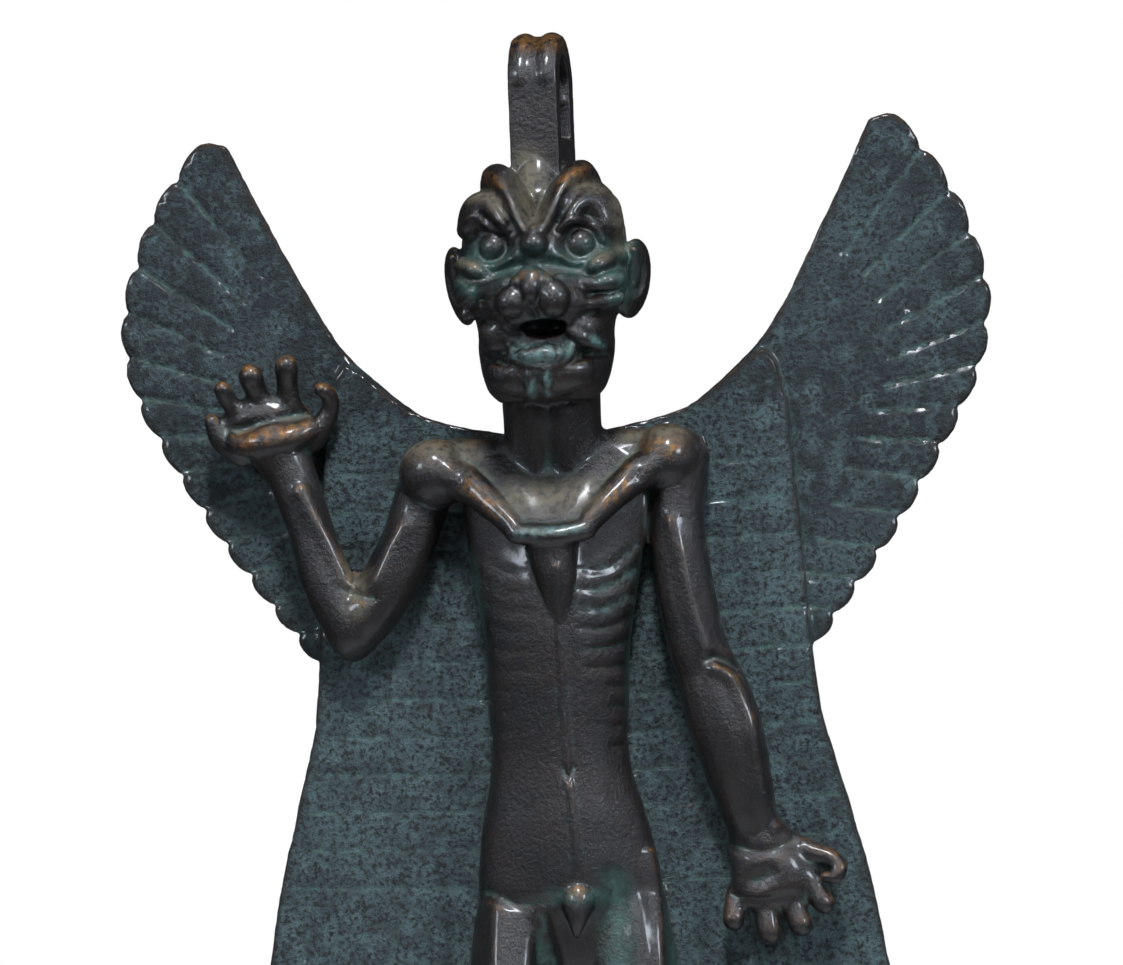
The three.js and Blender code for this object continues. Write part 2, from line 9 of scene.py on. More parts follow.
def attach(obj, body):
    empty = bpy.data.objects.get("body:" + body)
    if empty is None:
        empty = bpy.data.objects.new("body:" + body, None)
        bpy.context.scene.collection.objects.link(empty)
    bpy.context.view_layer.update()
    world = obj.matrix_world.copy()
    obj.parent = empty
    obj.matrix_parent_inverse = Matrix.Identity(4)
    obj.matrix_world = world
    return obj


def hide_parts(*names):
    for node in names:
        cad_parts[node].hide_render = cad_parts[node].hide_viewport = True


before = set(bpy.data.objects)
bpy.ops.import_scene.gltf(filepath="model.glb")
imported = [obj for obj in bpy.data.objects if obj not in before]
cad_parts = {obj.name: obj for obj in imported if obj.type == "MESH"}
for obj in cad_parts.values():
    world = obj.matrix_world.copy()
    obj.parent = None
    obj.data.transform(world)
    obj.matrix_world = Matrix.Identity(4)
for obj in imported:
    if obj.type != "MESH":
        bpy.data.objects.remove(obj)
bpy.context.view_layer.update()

# The casting is modelled in millimetres and brought to metres at the end.
# The figure faces -Y, the viewer's right is +X and the base stands on Z = 0.
coarse = 1.0


# Selecting, modifiers and joining

def pick(*objects):
    bpy.ops.object.select_all(action="DESELECT")
    for obj in objects:
        obj.select_set(True)
    bpy.context.view_layer.objects.active = objects[0]


# Curves turned into meshes have loose seams
def weld(obj):
    pick(obj)
    bpy.ops.object.mode_set(mode="EDIT")
    bpy.ops.mesh.select_all(action="SELECT")
    bpy.ops.mesh.remove_doubles(threshold=0.0005)
    bpy.ops.mesh.normals_make_consistent(inside=False)
    bpy.ops.object.mode_set(mode="OBJECT")
    return obj


def applyModifier(obj, kind, **settings):
    pick(obj)
    bpy.ops.object.modifier_add(type=kind)
    modifier = obj.modifiers[-1]
    for name, value in settings.items():
        setattr(modifier, name, value)
    bpy.ops.object.modifier_apply(modifier=modifier.name)


def bakePlace(obj):
    pick(obj)
    bpy.ops.object.transform_apply(location=True, rotation=True, scale=True)
    return obj


def soften(obj, rounds):
    if rounds:
        applyModifier(obj, "SMOOTH", factor=0.5, iterations=rounds)
    return obj


# Closed forms that overlap become one skin, and softening it rounds their meeting lines as wax does
def fuse(name, forms, voxel, rounds=0):
    pick(*forms)
    bpy.ops.object.join()
    skin = bpy.context.object
    skin.name = name
    applyModifier(skin, "REMESH", mode="VOXEL", voxel_size=voxel * coarse)
    return soften(skin, max(1, round(rounds / coarse ** 2)) if rounds else 0)


def carve(obj, cutters):
    for cutter in cutters:
        applyModifier(obj, "BOOLEAN", operation="DIFFERENCE", solver="MANIFOLD", object=cutter)
        bpy.data.objects.remove(cutter)
    return obj


def turnAbout(obj, middle, degrees):
    centre = Vector(middle)
    turn = Matrix.Rotation(math.radians(degrees), 4, "Z")
    obj.data.transform(Matrix.Translation(centre) @ turn @ Matrix.Translation(-centre))
    return obj


# Smooth courses through a few stations

def course(stations, steps=6):
    given = np.array(stations, float)
    padded = np.vstack([2 * given[0] - given[1], given, 2 * given[-1] - given[-2]])
    rows = []
    for i in range(len(given) - 1):
        a, b, c, d = padded[i:i + 4]
        for f in np.arange(steps) / steps:
            rows.append(b + 0.5 * f * (c - a + f * (2 * a - 5 * b + 4 * c - d + f * (3 * (b - c) + d - a))))
    rows.append(given[-1])
    return np.array(rows)


def spaced(points, count):
    lengths = np.linalg.norm(np.diff(points, axis=0), axis=1)
    reached = np.concatenate([[0], np.cumsum(lengths)])
    wanted = np.linspace(0, reached[-1], count)
    return np.column_stack([np.interp(wanted, reached, points[:, k]) for k in range(points.shape[1])])


# Balls, tubes, lofts and plates

def addBall(middle, half, turn=(0, 0, 0), sides=32):
    bpy.ops.mesh.primitive_uv_sphere_add(
        segments=sides, ring_count=sides // 2, radius=1, location=middle,
        rotation=[math.radians(angle) for angle in turn])
    bpy.context.object.scale = half
    return bakePlace(bpy.context.object)


# Each station is x, y, z and a radius, and the ends are round
def addTube(stations, steps=6, ends=True):
    path = course(stations, steps)
    if ends:
        first = (path[0] - path[1])[:3]
        last = (path[-1] - path[-2])[:3]
        caps = []
        for end, out in ((path[0], first), (path[-1], last)):
            out = out / np.linalg.norm(out)
            caps.append([np.append(end[:3] + out * end[3] * s, end[3] * math.sqrt(1 - s * s) + 0.01)
                         for s in (0.5, 0.8, 0.95, 1)])
        path = np.vstack([caps[0][::-1], path, caps[1]])
    bpy.ops.curve.primitive_nurbs_path_add()
    tube = bpy.context.object
    tube.data.splines.clear()
    spline = tube.data.splines.new("POLY")
    spline.points.add(len(path) - 1)
    for point, (x, y, z, radius) in zip(spline.points, path):
        point.co = (x, y, z, 1)
        point.radius = radius
    tube.data.bevel_depth = 1
    tube.data.bevel_resolution = 4
    tube.data.use_fill_caps = True
    pick(tube)
    bpy.ops.object.convert(target="MESH")
    return weld(bpy.context.object)


# Each ring is x, y, z, half width and half depth, and lies level
def addLoft(rings, sides=48, steps=5):
    stations = course(rings, steps)
    x, y, z, width, depth = stations[0]
    bpy.ops.mesh.primitive_circle_add(vertices=sides, radius=1, fill_type="NGON", location=(x, y, z))
    bpy.context.object.scale = (width, depth, 1)
    loft = bakePlace(bpy.context.object)
    bpy.ops.object.mode_set(mode="EDIT")
    bpy.ops.mesh.select_all(action="SELECT")
    for before, after in zip(stations, stations[1:]):
        bpy.ops.mesh.extrude_region_move(TRANSFORM_OT_translate={"value": tuple(after[:3] - before[:3])})
        bpy.ops.transform.resize(
            value=(after[3] / before[3], after[4] / before[4], 1), center_override=tuple(after[:3]))
    bpy.ops.mesh.select_all(action="SELECT")
    bpy.ops.mesh.normals_make_consistent(inside=False)
    bpy.ops.object.mode_set(mode="OBJECT")
    return loft


# A flat outline with any holes, given thickness about its own plane and stood upright
def addPlate(outlines, thickness, turn=(90, 0, 0)):
    bpy.ops.curve.primitive_nurbs_circle_add()
    plate = bpy.context.object
    curve = plate.data
    curve.splines.clear()
    curve.dimensions = "2D"
    curve.fill_mode = "BOTH"
    curve.extrude = thickness / 2
    for outline in outlines:
        spline = curve.splines.new("POLY")
        spline.points.add(len(outline) - 1)
        for point, (across, up) in zip(spline.points, outline):
            point.co = (across, up, 0, 1)
        spline.use_cyclic_u = True
    pick(plate)
    bpy.ops.object.convert(target="MESH")
    plate = weld(bpy.context.object)
    plate.rotation_euler = [math.radians(angle) for angle in turn]
    return bakePlace(plate)


# Depth of the skin behind a place on the front view
def skinDepth(skin, across, up, fallback=0.0):
    hit, place, _, _ = skin.ray_cast((across, -80, up), (0, 1, 0))
    return place.y if hit else fallback


# Balls and tubes laid on the front of a skin: sink is how far the middle lies behind it, in radii
def layBall(skin, spot, half, sink, turn=(0, 0, 0)):
    across, up = spot
    return addBall((across, skinDepth(skin, across, up) + sink * half[1], up), half, turn)


def layTube(skin, line, sink):
    stations = []
    depth = 0.0
    for across, up, radius in line:
        depth = skinDepth(skin, across, up, depth)
        stations.append((across, depth + sink * radius, up, radius))
    return addTube(stations)


# Modelling strokes on a finished skin: each moves the points near a line drawn on the front or back view

# Cross-sections of a stroke, from 0 at its edge to 1 on its line
profiles = {
    "soft": lambda share: share * share * (3 - 2 * share),
    "round": lambda share: np.sqrt(1 - (1 - share) ** 2),
    "sharp": lambda share: share,
    "fine": lambda share: share * share,
}


class Clay:
    def __init__(self, obj):
        self.obj = obj
        self.points = getPoints(obj)
        self.normals = getNormals(obj)
        self.marks = {}

    # How near each point is to the line as the view shows it, 1 on the line and 0 at the reach.
    # A third number at a place on the line widens or narrows the stroke there.
    def nearness(self, line, reach, view):
        flat = self.points[:, [0, 2]] if view in ("front", "back") else self.points[:, [1, 2]]
        facing = {"front": -self.normals[:, 1], "back": self.normals[:, 1],
                  "left": -self.normals[:, 0], "right": self.normals[:, 0]}[view]
        path = np.array([(*place, 1.0)[:3] for place in line], float)
        if len(path) > 2:
            path = course(path, 5)
        low, high = path[:, :2].min(0) - reach, path[:, :2].max(0) + reach
        chosen = np.nonzero((facing > 0.05) & (flat > low).all(1) & (flat < high).all(1))[0]
        spots = flat[chosen]
        best = np.full(len(spots), 9.0)
        width = np.ones(len(spots))
        for a, b in zip(path, path[1:]):
            along = b[:2] - a[:2]
            share = np.clip(((spots - a[:2]) @ along) / max(along @ along, 1e-9), 0, 1)
            scale = a[2] + share * (b[2] - a[2])
            far = np.linalg.norm(spots - a[:2] - share[:, None] * along, axis=1) / (reach * scale)
            width = np.where(far < best, scale, width)
            best = np.minimum(best, far)
        close = best < 1
        chosen, best, width = chosen[close], best[close], width[close]
        return chosen, 1 - best, width * np.clip((facing[chosen] - 0.05) * 4, 0, 1)

    # lift is in mm and negative for a groove
    def stroke(self, line, reach, lift, profile="soft", view="front", mark=None):
        chosen, share, width = self.nearness(line, reach, view)
        height = profiles[profile](share) * width
        self.points[chosen] += self.normals[chosen] * (lift * height)[:, None]
        if mark:
            held = self.marks.setdefault(mark, np.zeros(len(self.points)))
            held[chosen] = np.maximum(held[chosen], share)

    def mirrored(self, line, *args, **kwargs):
        for side in (-1, 1):
            self.stroke([(side * x, *rest) for x, *rest in line], *args, **kwargs)

    def done(self):
        self.obj.data.vertices.foreach_set("co", self.points.ravel())
        self.obj.data.update()
        for name, values in self.marks.items():
            setMark(self.obj, name, values)
        return self.obj


def setMark(obj, name, values):
    attribute = obj.data.attributes.get(name) or obj.data.attributes.new(name, "FLOAT", "POINT")
    attribute.data.foreach_set("value", np.asarray(values, np.float32))


def getPoints(obj):
    flat = np.empty(len(obj.data.vertices) * 3)
    obj.data.vertices.foreach_get("co", flat)
    return flat.reshape(-1, 3)


def getNormals(obj):
    flat = np.empty(len(obj.data.vertices) * 3)
    obj.data.vertex_normals.foreach_get("vector", flat)
    return flat.reshape(-1, 3)


def setPoints(obj, points):
    obj.data.vertices.foreach_set("co", np.asarray(points, float).ravel())
    obj.data.update()


# How far each point stands proud of the skin about it, in tenths of a millimetre
def markRelief(obj, name, rounds):
    points = getPoints(obj)
    edges = np.empty(len(obj.data.edges) * 2, np.int64)
    obj.data.edges.foreach_get("vertices", edges)
    first, second = edges.reshape(-1, 2).T
    links = np.bincount(edges, minlength=len(points))[:, None]
    even = points.copy()
    for _ in range(max(2, round(rounds / coarse ** 2))):
        total = np.column_stack([
            np.bincount(first, even[second, k], len(points)) + np.bincount(second, even[first, k], len(points))
            for k in range(3)])
        even = total / links
    proud = ((points - even) * getNormals(obj)).sum(1)
    setMark(obj, name, proud * 10)


def roughen(obj, size, height, depth=2, seed=0):
    texture = bpy.data.textures.new("castUnevenness", "CLOUDS")
    texture.noise_scale = size
    texture.noise_depth = depth
    applyModifier(obj, "DISPLACE", texture=texture, strength=height, mid_level=0.5, texture_coords="LOCAL")
    bpy.data.textures.remove(texture)


def thin(obj, triangles):
    applyModifier(obj, "TRIANGULATE")
    share = triangles / len(obj.data.polygons)
    if share < 1:
        applyModifier(obj, "DECIMATE", ratio=share)
    return obj


# Wings: a pair of flat plates on each side, the lower one in front, swept back from the body
wing = {
    "thickness": 2.2, "sweep": 0.12, "upperY": 2.4, "lowerY": 1.3, "voxel": 0.21,
    "feathers": 14, "firstFeather": 5.0, "lastFeather": 3.7, "lobe": 0.85,
    "featherEdge": [(33.9, 140.9), (39.2, 134), (42.6, 124.7), (42.3, 117.6), (39.6, 111.4), (33.2, 100.7), (24.3, 88.6)],
    "bodyEdge": [(20, 88), (6, 96), (5, 107), (13.4, 112.5), (19.4, 117.6), (22.3, 121.2), (26, 128), (29.4, 134.6),
                 (32.2, 140.4)],
    "dips": (52, 8.4, -13), "lines": (12.5, 0.7),
    "hemFeathers": 8, "hemLobe": 1.3,
    "topEdge": [(3, 110), (13.6, 112.6), (20.8, 118), (23, 112.6)],
    "outerEdge": [(23, 112.6), (23.9, 100), (24.6, 88.2), (25.2, 82), (26.7, 76), (28.8, 68), (30.4, 60), (31.8, 50),
                  (32.8, 40)],
    "hem": [(32.8, 40), (31.4, 32.6), (25, 28.6), (17, 27.4), (10, 28.6)],
    "innerEdge": [(8.4, 38), (6.4, 48), (3, 56)],
    "barbTop": 107, "barbBottom": 64, "barbStep": 3.72, "quillTop": 62.5,
    "triangles": 62000,
}


def notchesAlong(edge, count, first=1.0, last=1.0):
    path = course(edge, 30)
    reached = [i * first + (last - first) * i * (i - 1) / (2 * (count - 1)) for i in range(count + 1)]
    fine = spaced(path, 2000)
    return [fine[min(1999, round(1999 * r / reached[-1]))] for r in reached]


# Round feather tips between the notches
def lobed(notches, height):
    outline = []
    for a, b in zip(notches, notches[1:]):
        across = b - a
        out = np.array([-across[1], across[0]]) / np.linalg.norm(across)
        for f in np.linspace(0, 1, 9)[:-1]:
            outline.append(a + across * f + out * height * math.sin(math.pi * f ** 0.85) ** 0.6)
    return outline + [notches[-1]]


def upperLines(notches):
    steepest, step, least = wing["dips"]
    longest, shorter = wing["lines"]
    lines = []
    for i, (x, z) in enumerate(notches[1:-1]):
        dip = math.radians(max(steepest - step * i, least))
        length = longest - shorter * i
        lines.append([(x + 0.4, z + 0.3), (x - length * math.cos(dip), z - length * math.sin(dip))])
    return lines


def edgeAt(z):
    path = course(wing["outerEdge"], 20)
    return float(np.interp(-z, -path[:, 1], path[:, 0]))


def makeWings():
    notches = notchesAlong(wing["featherEdge"], wing["feathers"], wing["firstFeather"], wing["lastFeather"])
    hemNotches = notchesAlong(wing["hem"], wing["hemFeathers"])
    upper = [*lobed(notches, wing["lobe"]), *spaced(course(wing["bodyEdge"]), 40)]
    lower = [*spaced(course(wing["topEdge"]), 14)[:-1], *spaced(course(wing["outerEdge"]), 40)[:-1],
             *lobed(hemNotches, wing["hemLobe"]), *spaced(course(wing["innerEdge"]), 8)]
    plates = []
    for side in (-1, 1):
        for outline, middleY in ((upper, wing["upperY"]), (lower, wing["lowerY"])):
            plate = addPlate([[(side * x, z) for x, z in outline]], wing["thickness"])
            points = getPoints(plate)
            points[:, 1] += middleY + wing["sweep"] * np.abs(points[:, 0])
            setPoints(plate, points)
            plates.append(plate)
    wings = fuse("wings", plates, wing["voxel"], 5)
    clay = Clay(wings)
    for line in upperLines(notches):
        clay.mirrored(line, 1.5, -0.16, mark="furrow")
        clay.mirrored(line, 0.4, -0.26, profile="sharp", mark="line")
        clay.mirrored(line, 0.5, -0.2, view="back")
    z = wing["barbTop"]
    while z > wing["barbBottom"]:
        line = [(5, z - 0.6), (edgeAt(z) - 0.8, z)]
        clay.mirrored(line, 0.36, -0.2, profile="sharp", mark="line")
        clay.mirrored(line, 0.5, -0.2, view="back")
        z -= wing["barbStep"]
    for i, (x, z) in enumerate(hemNotches[1:-1]):
        line = [(x, z - 0.4), (26.5 - 3 * i, wing["quillTop"])]
        clay.mirrored(line, 1.2, -0.12)
        clay.mirrored(line, 0.36, -0.24, profile="sharp", mark="line")
        clay.mirrored(line, 0.5, -0.2, view="back")
    clay.done()
    roughen(wings, 3.0, 0.24)
    roughen(wings, 0.9, 0.1)
    points = getPoints(wings)
    edge = course(wing["outerEdge"], 20)[::-1]
    inside = np.abs(points[:, 0]) < np.interp(points[:, 2], edge[:, 1], edge[:, 0])
    setMark(wings, "lower", inside & (points[:, 2] < 112.6))
    return wings


# Body: torso, neck, arms and legs. Rings are x, y, z, half width, half depth; limbs are x, y, z, radius
body = {
    "voxel": 0.22,
    "trunk": [(0.1, 0.6, 54, 6.0, 3.2), (0.1, 0.0, 58, 9.2, 4.2), (0.1, -0.5, 62, 9.3, 4.6), (0, -0.8, 66, 9.1, 4.8),
              (-0.3, -0.9, 71.5, 8.3, 4.8), (-0.5, -0.8, 77.6, 6.9, 4.6), (-0.5, -0.9, 84, 7.0, 4.8),
              (-0.3, -1.1, 90, 7.3, 5.0), (-0.2, -1.1, 95.5, 8.2, 4.8), (0, -0.9, 100, 9.0, 4.4),
              (0, -0.6, 104.2, 9.1, 4.2), (0, 0.2, 109.4, 7.2, 3.5)],
    "neck": [(0, -0.2, 104, 5.6, 4.6), (0, -0.9, 109, 4.9, 4.5), (0, -1.7, 114, 4.9, 5.2), (0, -2.2, 119, 5.4, 5.6)],
    "shoulderBar": [(-12.0, 0.4, 106.8, 3.3), (-6, 0.5, 107.0, 3.3), (6, 0.5, 107.2, 3.3), (12.0, 0.4, 107.2, 3.4)],
    "plate": [(0, -0.6, 108.2, 9.8, 2.8), (0, -1.8, 106.4, 8.6, 3.0), (0, -3.4, 104.2, 6.6, 2.9),
              (0, -4.9, 102.2, 5.0, 2.5), (0, -6.1, 100.4, 3.9, 1.8)],
    "collar": {-1: [(-11.0, -2.4, 106.8, 2.2), (-8.2, -3.7, 105.2, 1.8), (-5.6, -5.4, 102.9, 1.45), (-3.7, -6.7, 100.9, 1.2)],
               1: [(10.8, -2.4, 107.2, 2.2), (8.4, -3.7, 105.8, 1.8), (5.8, -5.4, 103.5, 1.45), (3.5, -6.7, 101.1, 1.2)]},
    "ledge": [(-3.6, -7.0, 100.4, 1.1), (0, -7.5, 100.2, 1.2), (3.3, -7.0, 100.5, 1.1)],
    "breastTip": [(-0.2, -5.6, 99.0, 2.4), (0.1, -5.7, 95.8, 1.5), (0.3, -5.6, 92.2, 0.7)],
    "leftCap": ((-11.9, -1.2, 106.7), (3.6, 3.5, 3.5)),
    "rightCap": ((11.2, -1.2, 107.3), (3.3, 3.5, 3.5)),
    "organ": [(1.0, -4.2, 65.4, 1.1), (1.0, -5.3, 64, 1.4), (0.9, -5.9, 62.4, 1.05), (0.8, -6.0, 60.9, 0.5)],
    "organRing": [(-0.5, -5.5, 63.9, 0.35), (0.2, -6.9, 64.1, 0.35), (1.7, -6.9, 64.1, 0.35), (2.4, -5.5, 63.9, 0.35)],
}
raised = {
    "upper": [(-12.8, 0.2, 106, 2.9), (-14.4, 0.0, 101.2, 2.8), (-16.6, -0.2, 96.6, 2.95), (-19.4, 0, 92.8, 3.0)],
    "fore": [(-20.6, 0.2, 91.6, 2.9), (-23.0, 0.3, 96.0, 2.6), (-24.8, 0.7, 102.4, 2.35), (-26.6, 1.4, 108, 2.6)],
    "elbow": [(-19.8, 0.2, 92.2, 2.9), (-20.8, 0.7, 90.0, 1.7)],
    "web": [(-20.1, 1.4, 93.6, 1.8), (-20.1, 3.1, 95.8, 1.6)],
    "palm": ((-28.7, 2.0, 112.6), (4.7, 2.4, 2.9)),
    "wrist": [(-26.5, 1.5, 107.4, 2.5), (-28.0, 1.7, 110.6, 3.3)],
    "heel": [(-31.4, 0.7, 110.6, 1.3), (-29.0, -0.1, 110.4, 1.5), (-26.2, -0.1, 110.8, 1.5), (-24.4, 0.5, 111.6, 1.2)],
    "edgeLobe": [(-31.2, 1.8, 109.4, 1.3), (-33.2, 1.6, 111.0, 1.25), (-34.1, 1.2, 112.8, 0.85)],
    "fingers": [[(-31.2, 1.4, 113.0, 1.1), (-32.2, 0.8, 114.6, 0.95), (-32.8, -0.1, 115.9, 0.9)],
                [(-28.9, 1.5, 113.6, 1.3), (-29.5, 0.8, 115.6, 1.15), (-29.9, -0.3, 117.1, 1.3)],
                [(-26.4, 1.5, 113.8, 1.3), (-26.4, 0.8, 116.0, 1.1), (-26.3, -0.3, 117.9, 1.25)]],
    "thumb": [(-24.2, 1.6, 110.8, 1.5), (-22.7, 1.3, 112.6, 1.1), (-22.1, 0.9, 114.0, 0.9),
              (-22.3, 0.3, 115.1, 0.85), (-22.9, -0.2, 115.5, 0.8)],
}
lowered = {
    "upper": [(12.2, -0.4, 106.0, 3.1), (11.9, -1, 101, 2.75), (12.4, -1.2, 95, 2.95), (13.4, -1.2, 89, 3.0),
              (14.5, -1.0, 86, 3.1)],
    "fore": [(14.7, -0.9, 85.2, 3.4), (15.8, -0.8, 81, 3.7), (16.8, -0.5, 77, 3.4), (18.0, 0, 71.6, 2.7)],
    "forearmBulge": [(16.6, -1.8, 84.0, 1.5), (17.5, -2.3, 80, 1.8), (17.9, -1.8, 75.5, 1.4)],
    "hand": [(18.4, 0.3, 71.4, 2.8, 2.2), (19.4, 0.1, 68.4, 3.7, 2.5), (20.0, -0.1, 66, 4.2, 2.6),
             (19.9, -0.1, 64, 4.2, 2.4), (19.7, 0.2, 62.4, 3.7, 1.7)],
    "fingers": [[(16.5, 0.2, 64.4, 1.2), (16.1, -0.4, 62.8, 1.1), (15.95, -0.9, 61.6, 1.15)],
                [(19.1, -0.2, 64.0, 1.35), (19.3, -0.8, 61.8, 1.25), (19.45, -1.1, 60.3, 1.3)],
                [(21.6, -0.2, 64.2, 1.3), (22.2, -0.8, 62.0, 1.2), (22.6, -1.1, 60.9, 1.25)],
                [(22.8, -0.2, 66.4, 1.4), (24.0, -0.7, 64.2, 1.15), (24.9, -1.0, 62.9, 1.15)]],
    "thumb": [(21.8, 0.1, 68.8, 1.3), (24.0, -0.3, 67.9, 1.1), (25.8, -0.7, 67.3, 0.9), (26.6, -1.1, 66.3, 0.85),
              (26.1, -1.4, 65.4, 0.75), (25.2, -1.4, 65.5, 0.55)],
    "thumbPad": [(23.0, 0.6, 67.4, 1.4), (25.4, 0.8, 66.6, 1.2)],
}
leg = {
    "rings": [(4.9, 0.2, 66, 4.0, 4.3), (5.7, -0.8, 60, 4.3, 4.9), (6.2, -1.8, 52, 4.4, 5.2), (6.4, -3.0, 43, 3.7, 4.6),
              (6.4, -3.6, 37, 3.6, 4.5), (6.5, -2.2, 30, 3.6, 4.4), (6.8, -1.2, 22, 2.9, 3.5), (7.0, -1.4, 14, 2.4, 2.8),
              (7.0, -1.8, 7, 3.2, 3.6)],
    "stride": {-1: -4.5, 1: 1.5}, "strideTop": 60, "strideBottom": 7.5,
    "toe": 11.5, "spur": 8, "spread": 27, "footTop": 7.5,
}
back = {
    "spine": [(0, 4, 106, 1.5), (0, 4.7, 90, 1.7), (0, 4.4, 70, 1.9)],
    "joints": 6, "bottom": 57.5, "rise": 23, "start": 4.6, "bow": 3.6, "radius": 2.7, "taper": 1.2, "waist": 0.75,
}


def makeToe(side, y, degrees, length):
    angle = math.radians(degrees)
    ankle = leg["rings"][-1][0] * side

    def at(reach, z, radius):
        return (ankle + math.sin(angle) * reach * length, y - math.cos(angle) * reach * length,
                leg["footTop"] + z, radius)
    return addTube([at(0, 1.8, 2.3), at(0.3, 1.5, 1.7), at(0.5, 1.5, 1.9), at(0.62, 1.3, 1.4), at(0.76, 1.4, 1.7),
                    at(0.88, 1.3, 1.0), at(1.02, 0.3, 0.4)])


def makeLeg(side):
    stride = leg["stride"][side]
    rings = []
    for x, y, z, width, depth in leg["rings"]:
        share = min(1, max(0, (leg["strideTop"] - z) / (leg["strideTop"] - leg["strideBottom"])))
        rings.append((side * x, y + stride * share, z, width, depth))
    footY = rings[-1][1]
    toes = [makeToe(side, footY - 0.5, place * leg["spread"] + side * 6, leg["toe"]) for place in (-1, 0, 1)]
    return [addLoft(rings), *toes, makeToe(side, footY + 0.5, 180, leg["spur"])]


def makeTail():
    steps = back["joints"] * 2
    stations = []
    for i in range(steps + 1):
        f = i / steps
        full = back["radius"] - back["taper"] * f
        stations.append((0, back["start"] + back["bow"] * math.sin(math.pi * f), back["bottom"] + back["rise"] * f,
                         full if i % 2 else full * back["waist"]))
    return addTube(stations)


def mirrorPoints(stations, side):
    return [(side * station[0], *station[1:]) for station in stations]


def makeBody():
    masses = [addLoft(body["trunk"]), addLoft(body["neck"]), addTube(body["shoulderBar"]), addTube(lowered["upper"]),
              addTube(lowered["fore"]), addTube(lowered["forearmBulge"]), addTube(raised["fore"]),
              addTube(raised["upper"]), addTube(raised["elbow"]), addTube(raised["wrist"]), addBall(*raised["palm"]),
              addLoft(lowered["hand"]), addTube(back["spine"])]
    masses += makeLeg(-1) + makeLeg(1)
    main = fuse("mainMasses", masses, 0.3, 9)
    details = [main, addLoft(body["plate"]), addBall(*body["leftCap"]), addBall(*body["rightCap"]),
               addTube(body["ledge"]), addTube(body["breastTip"]), addTube(body["organ"]), addTube(raised["web"]),
               addTube(raised["heel"]), addTube(raised["edgeLobe"]), addTube(raised["thumb"]),
               addTube(lowered["thumb"]), addTube(lowered["thumbPad"]), makeTail()]
    details += [addTube(body["collar"][side]) for side in (-1, 1)]
    details += [addTube(finger) for finger in raised["fingers"] + lowered["fingers"]]
    figure = fuse("body", details, body["voxel"], 7)
    sculptBody(figure)
    roughen(figure, 2.4, 0.12)
    return figure


# Strokes on the body, each a line on the front view with its reach, lift and profile
bodyStrokes = [
    # Two planes of the chest and belly meeting in a narrow keel, with the navel on it
    ([(0.3, 95), (0.3, 88), (0.4, 82), (0.6, 77), (1.0, 71), (1.1, 67)], 6.0, 0.7, "soft"),
    ([(0.3, 97), (0.3, 88), (0.4, 82), (0.6, 77), (1.0, 71), (1.1, 67)], 0.6, 0.34, "soft"),
    ([(0.1, 77.3, 0.8), (0.6, 76.3, 1), (1.1, 77.3, 0.8)], 0.5, -0.35, "soft"),
    # Hollow above the ledge
    ([(0, 103.6), (0, 106.2)], 4.2, -0.6, "soft"),
    # Neck
    ([(-0.2, 117), (-0.2, 107)], 1.5, -0.4, "soft"),
    ([(-2.2, 116), (-1.7, 107)], 1.3, 0.3, "soft"), ([(1.9, 116), (1.5, 107)], 1.3, 0.3, "soft"),
    # Shoulders, arms and wrists
    ([(-9.2, 109.6), (-9.0, 107.4), (-9.1, 105.2)], 1.3, -0.3, "soft"),
    ([(8.9, 109.8), (8.9, 107.6), (8.4, 105.6)], 1.2, -0.22, "soft"),
    ([(-25.2, 105.4), (-24.1, 102.8), (-22.8, 100.4), (-21.8, 98.2), (-20.9, 96.0)], 1.3, 0.5, "soft"),
    ([(-21.4, 95.8), (-19.9, 95.0), (-18.4, 94.6)], 0.7, -0.35, "soft"),
    ([(-14.9, 101.6), (-16.3, 99.4), (-17.7, 96.4)], 1.6, 0.4, "soft"),
    ([(11.6, 101), (12.5, 96.4), (13.4, 91.8), (14.4, 88.4)], 1.3, 0.4, "soft"),
    ([(15.2, 86.4), (16.2, 85.9), (17.2, 84.8), (18.2, 82.4), (18.7, 79.9), (19.0, 76.3), (19.4, 73.1), (20.3, 70.6)],
     1.2, 0.5, "soft"),
    ([(14.6, 87.4), (16.2, 87.2), (17.6, 86.4)], 0.9, -0.3, "soft"),
    ([(15.8, 69.0), (19.2, 68.2), (22.4, 69.2)], 0.9, -0.25, "soft"),
    # Palms and knuckles
    ([(-31.4, 111.8), (-29.1, 112.5), (-27.0, 112.9), (-24.0, 113.5)], 0.8, -0.4, "soft"),
    ([(18.4, 65.4), (19.6, 66.0)], 1.6, -0.5, "soft"),
    ([(16.0, 63.9), (18.8, 63.5), (22.0, 63.9)], 0.6, -0.2, "soft"),
    # Belly's lower edge, thighs and the hollows between them
    ([(-8.2, 65.2), (-5, 64.0), (-1.6, 64.2)], 1.0, -0.3, "soft"),
    ([(4.4, 66.5, 0.5), (4.9, 62, 0.9), (5.0, 56, 1)], 3.0, -0.8, "soft"),
    ([(-2.6, 62.5, 0.6), (-2.4, 58, 1), (-2.4, 54, 1)], 2.0, -0.9, "soft"),
    ([(8.0, 68.6), (8.7, 63), (8.7, 50)], 0.9, 0.4, "soft"),
    ([(-7.2, 64), (-7.2, 50)], 1.6, 0.3, "soft"),
]
ribs = {"count": 10, "top": 96.6, "step": 1.95, "reach": 0.7, "depth": {-1: -0.07, 1: -0.17}, "paintedHighlightRibs": 3}
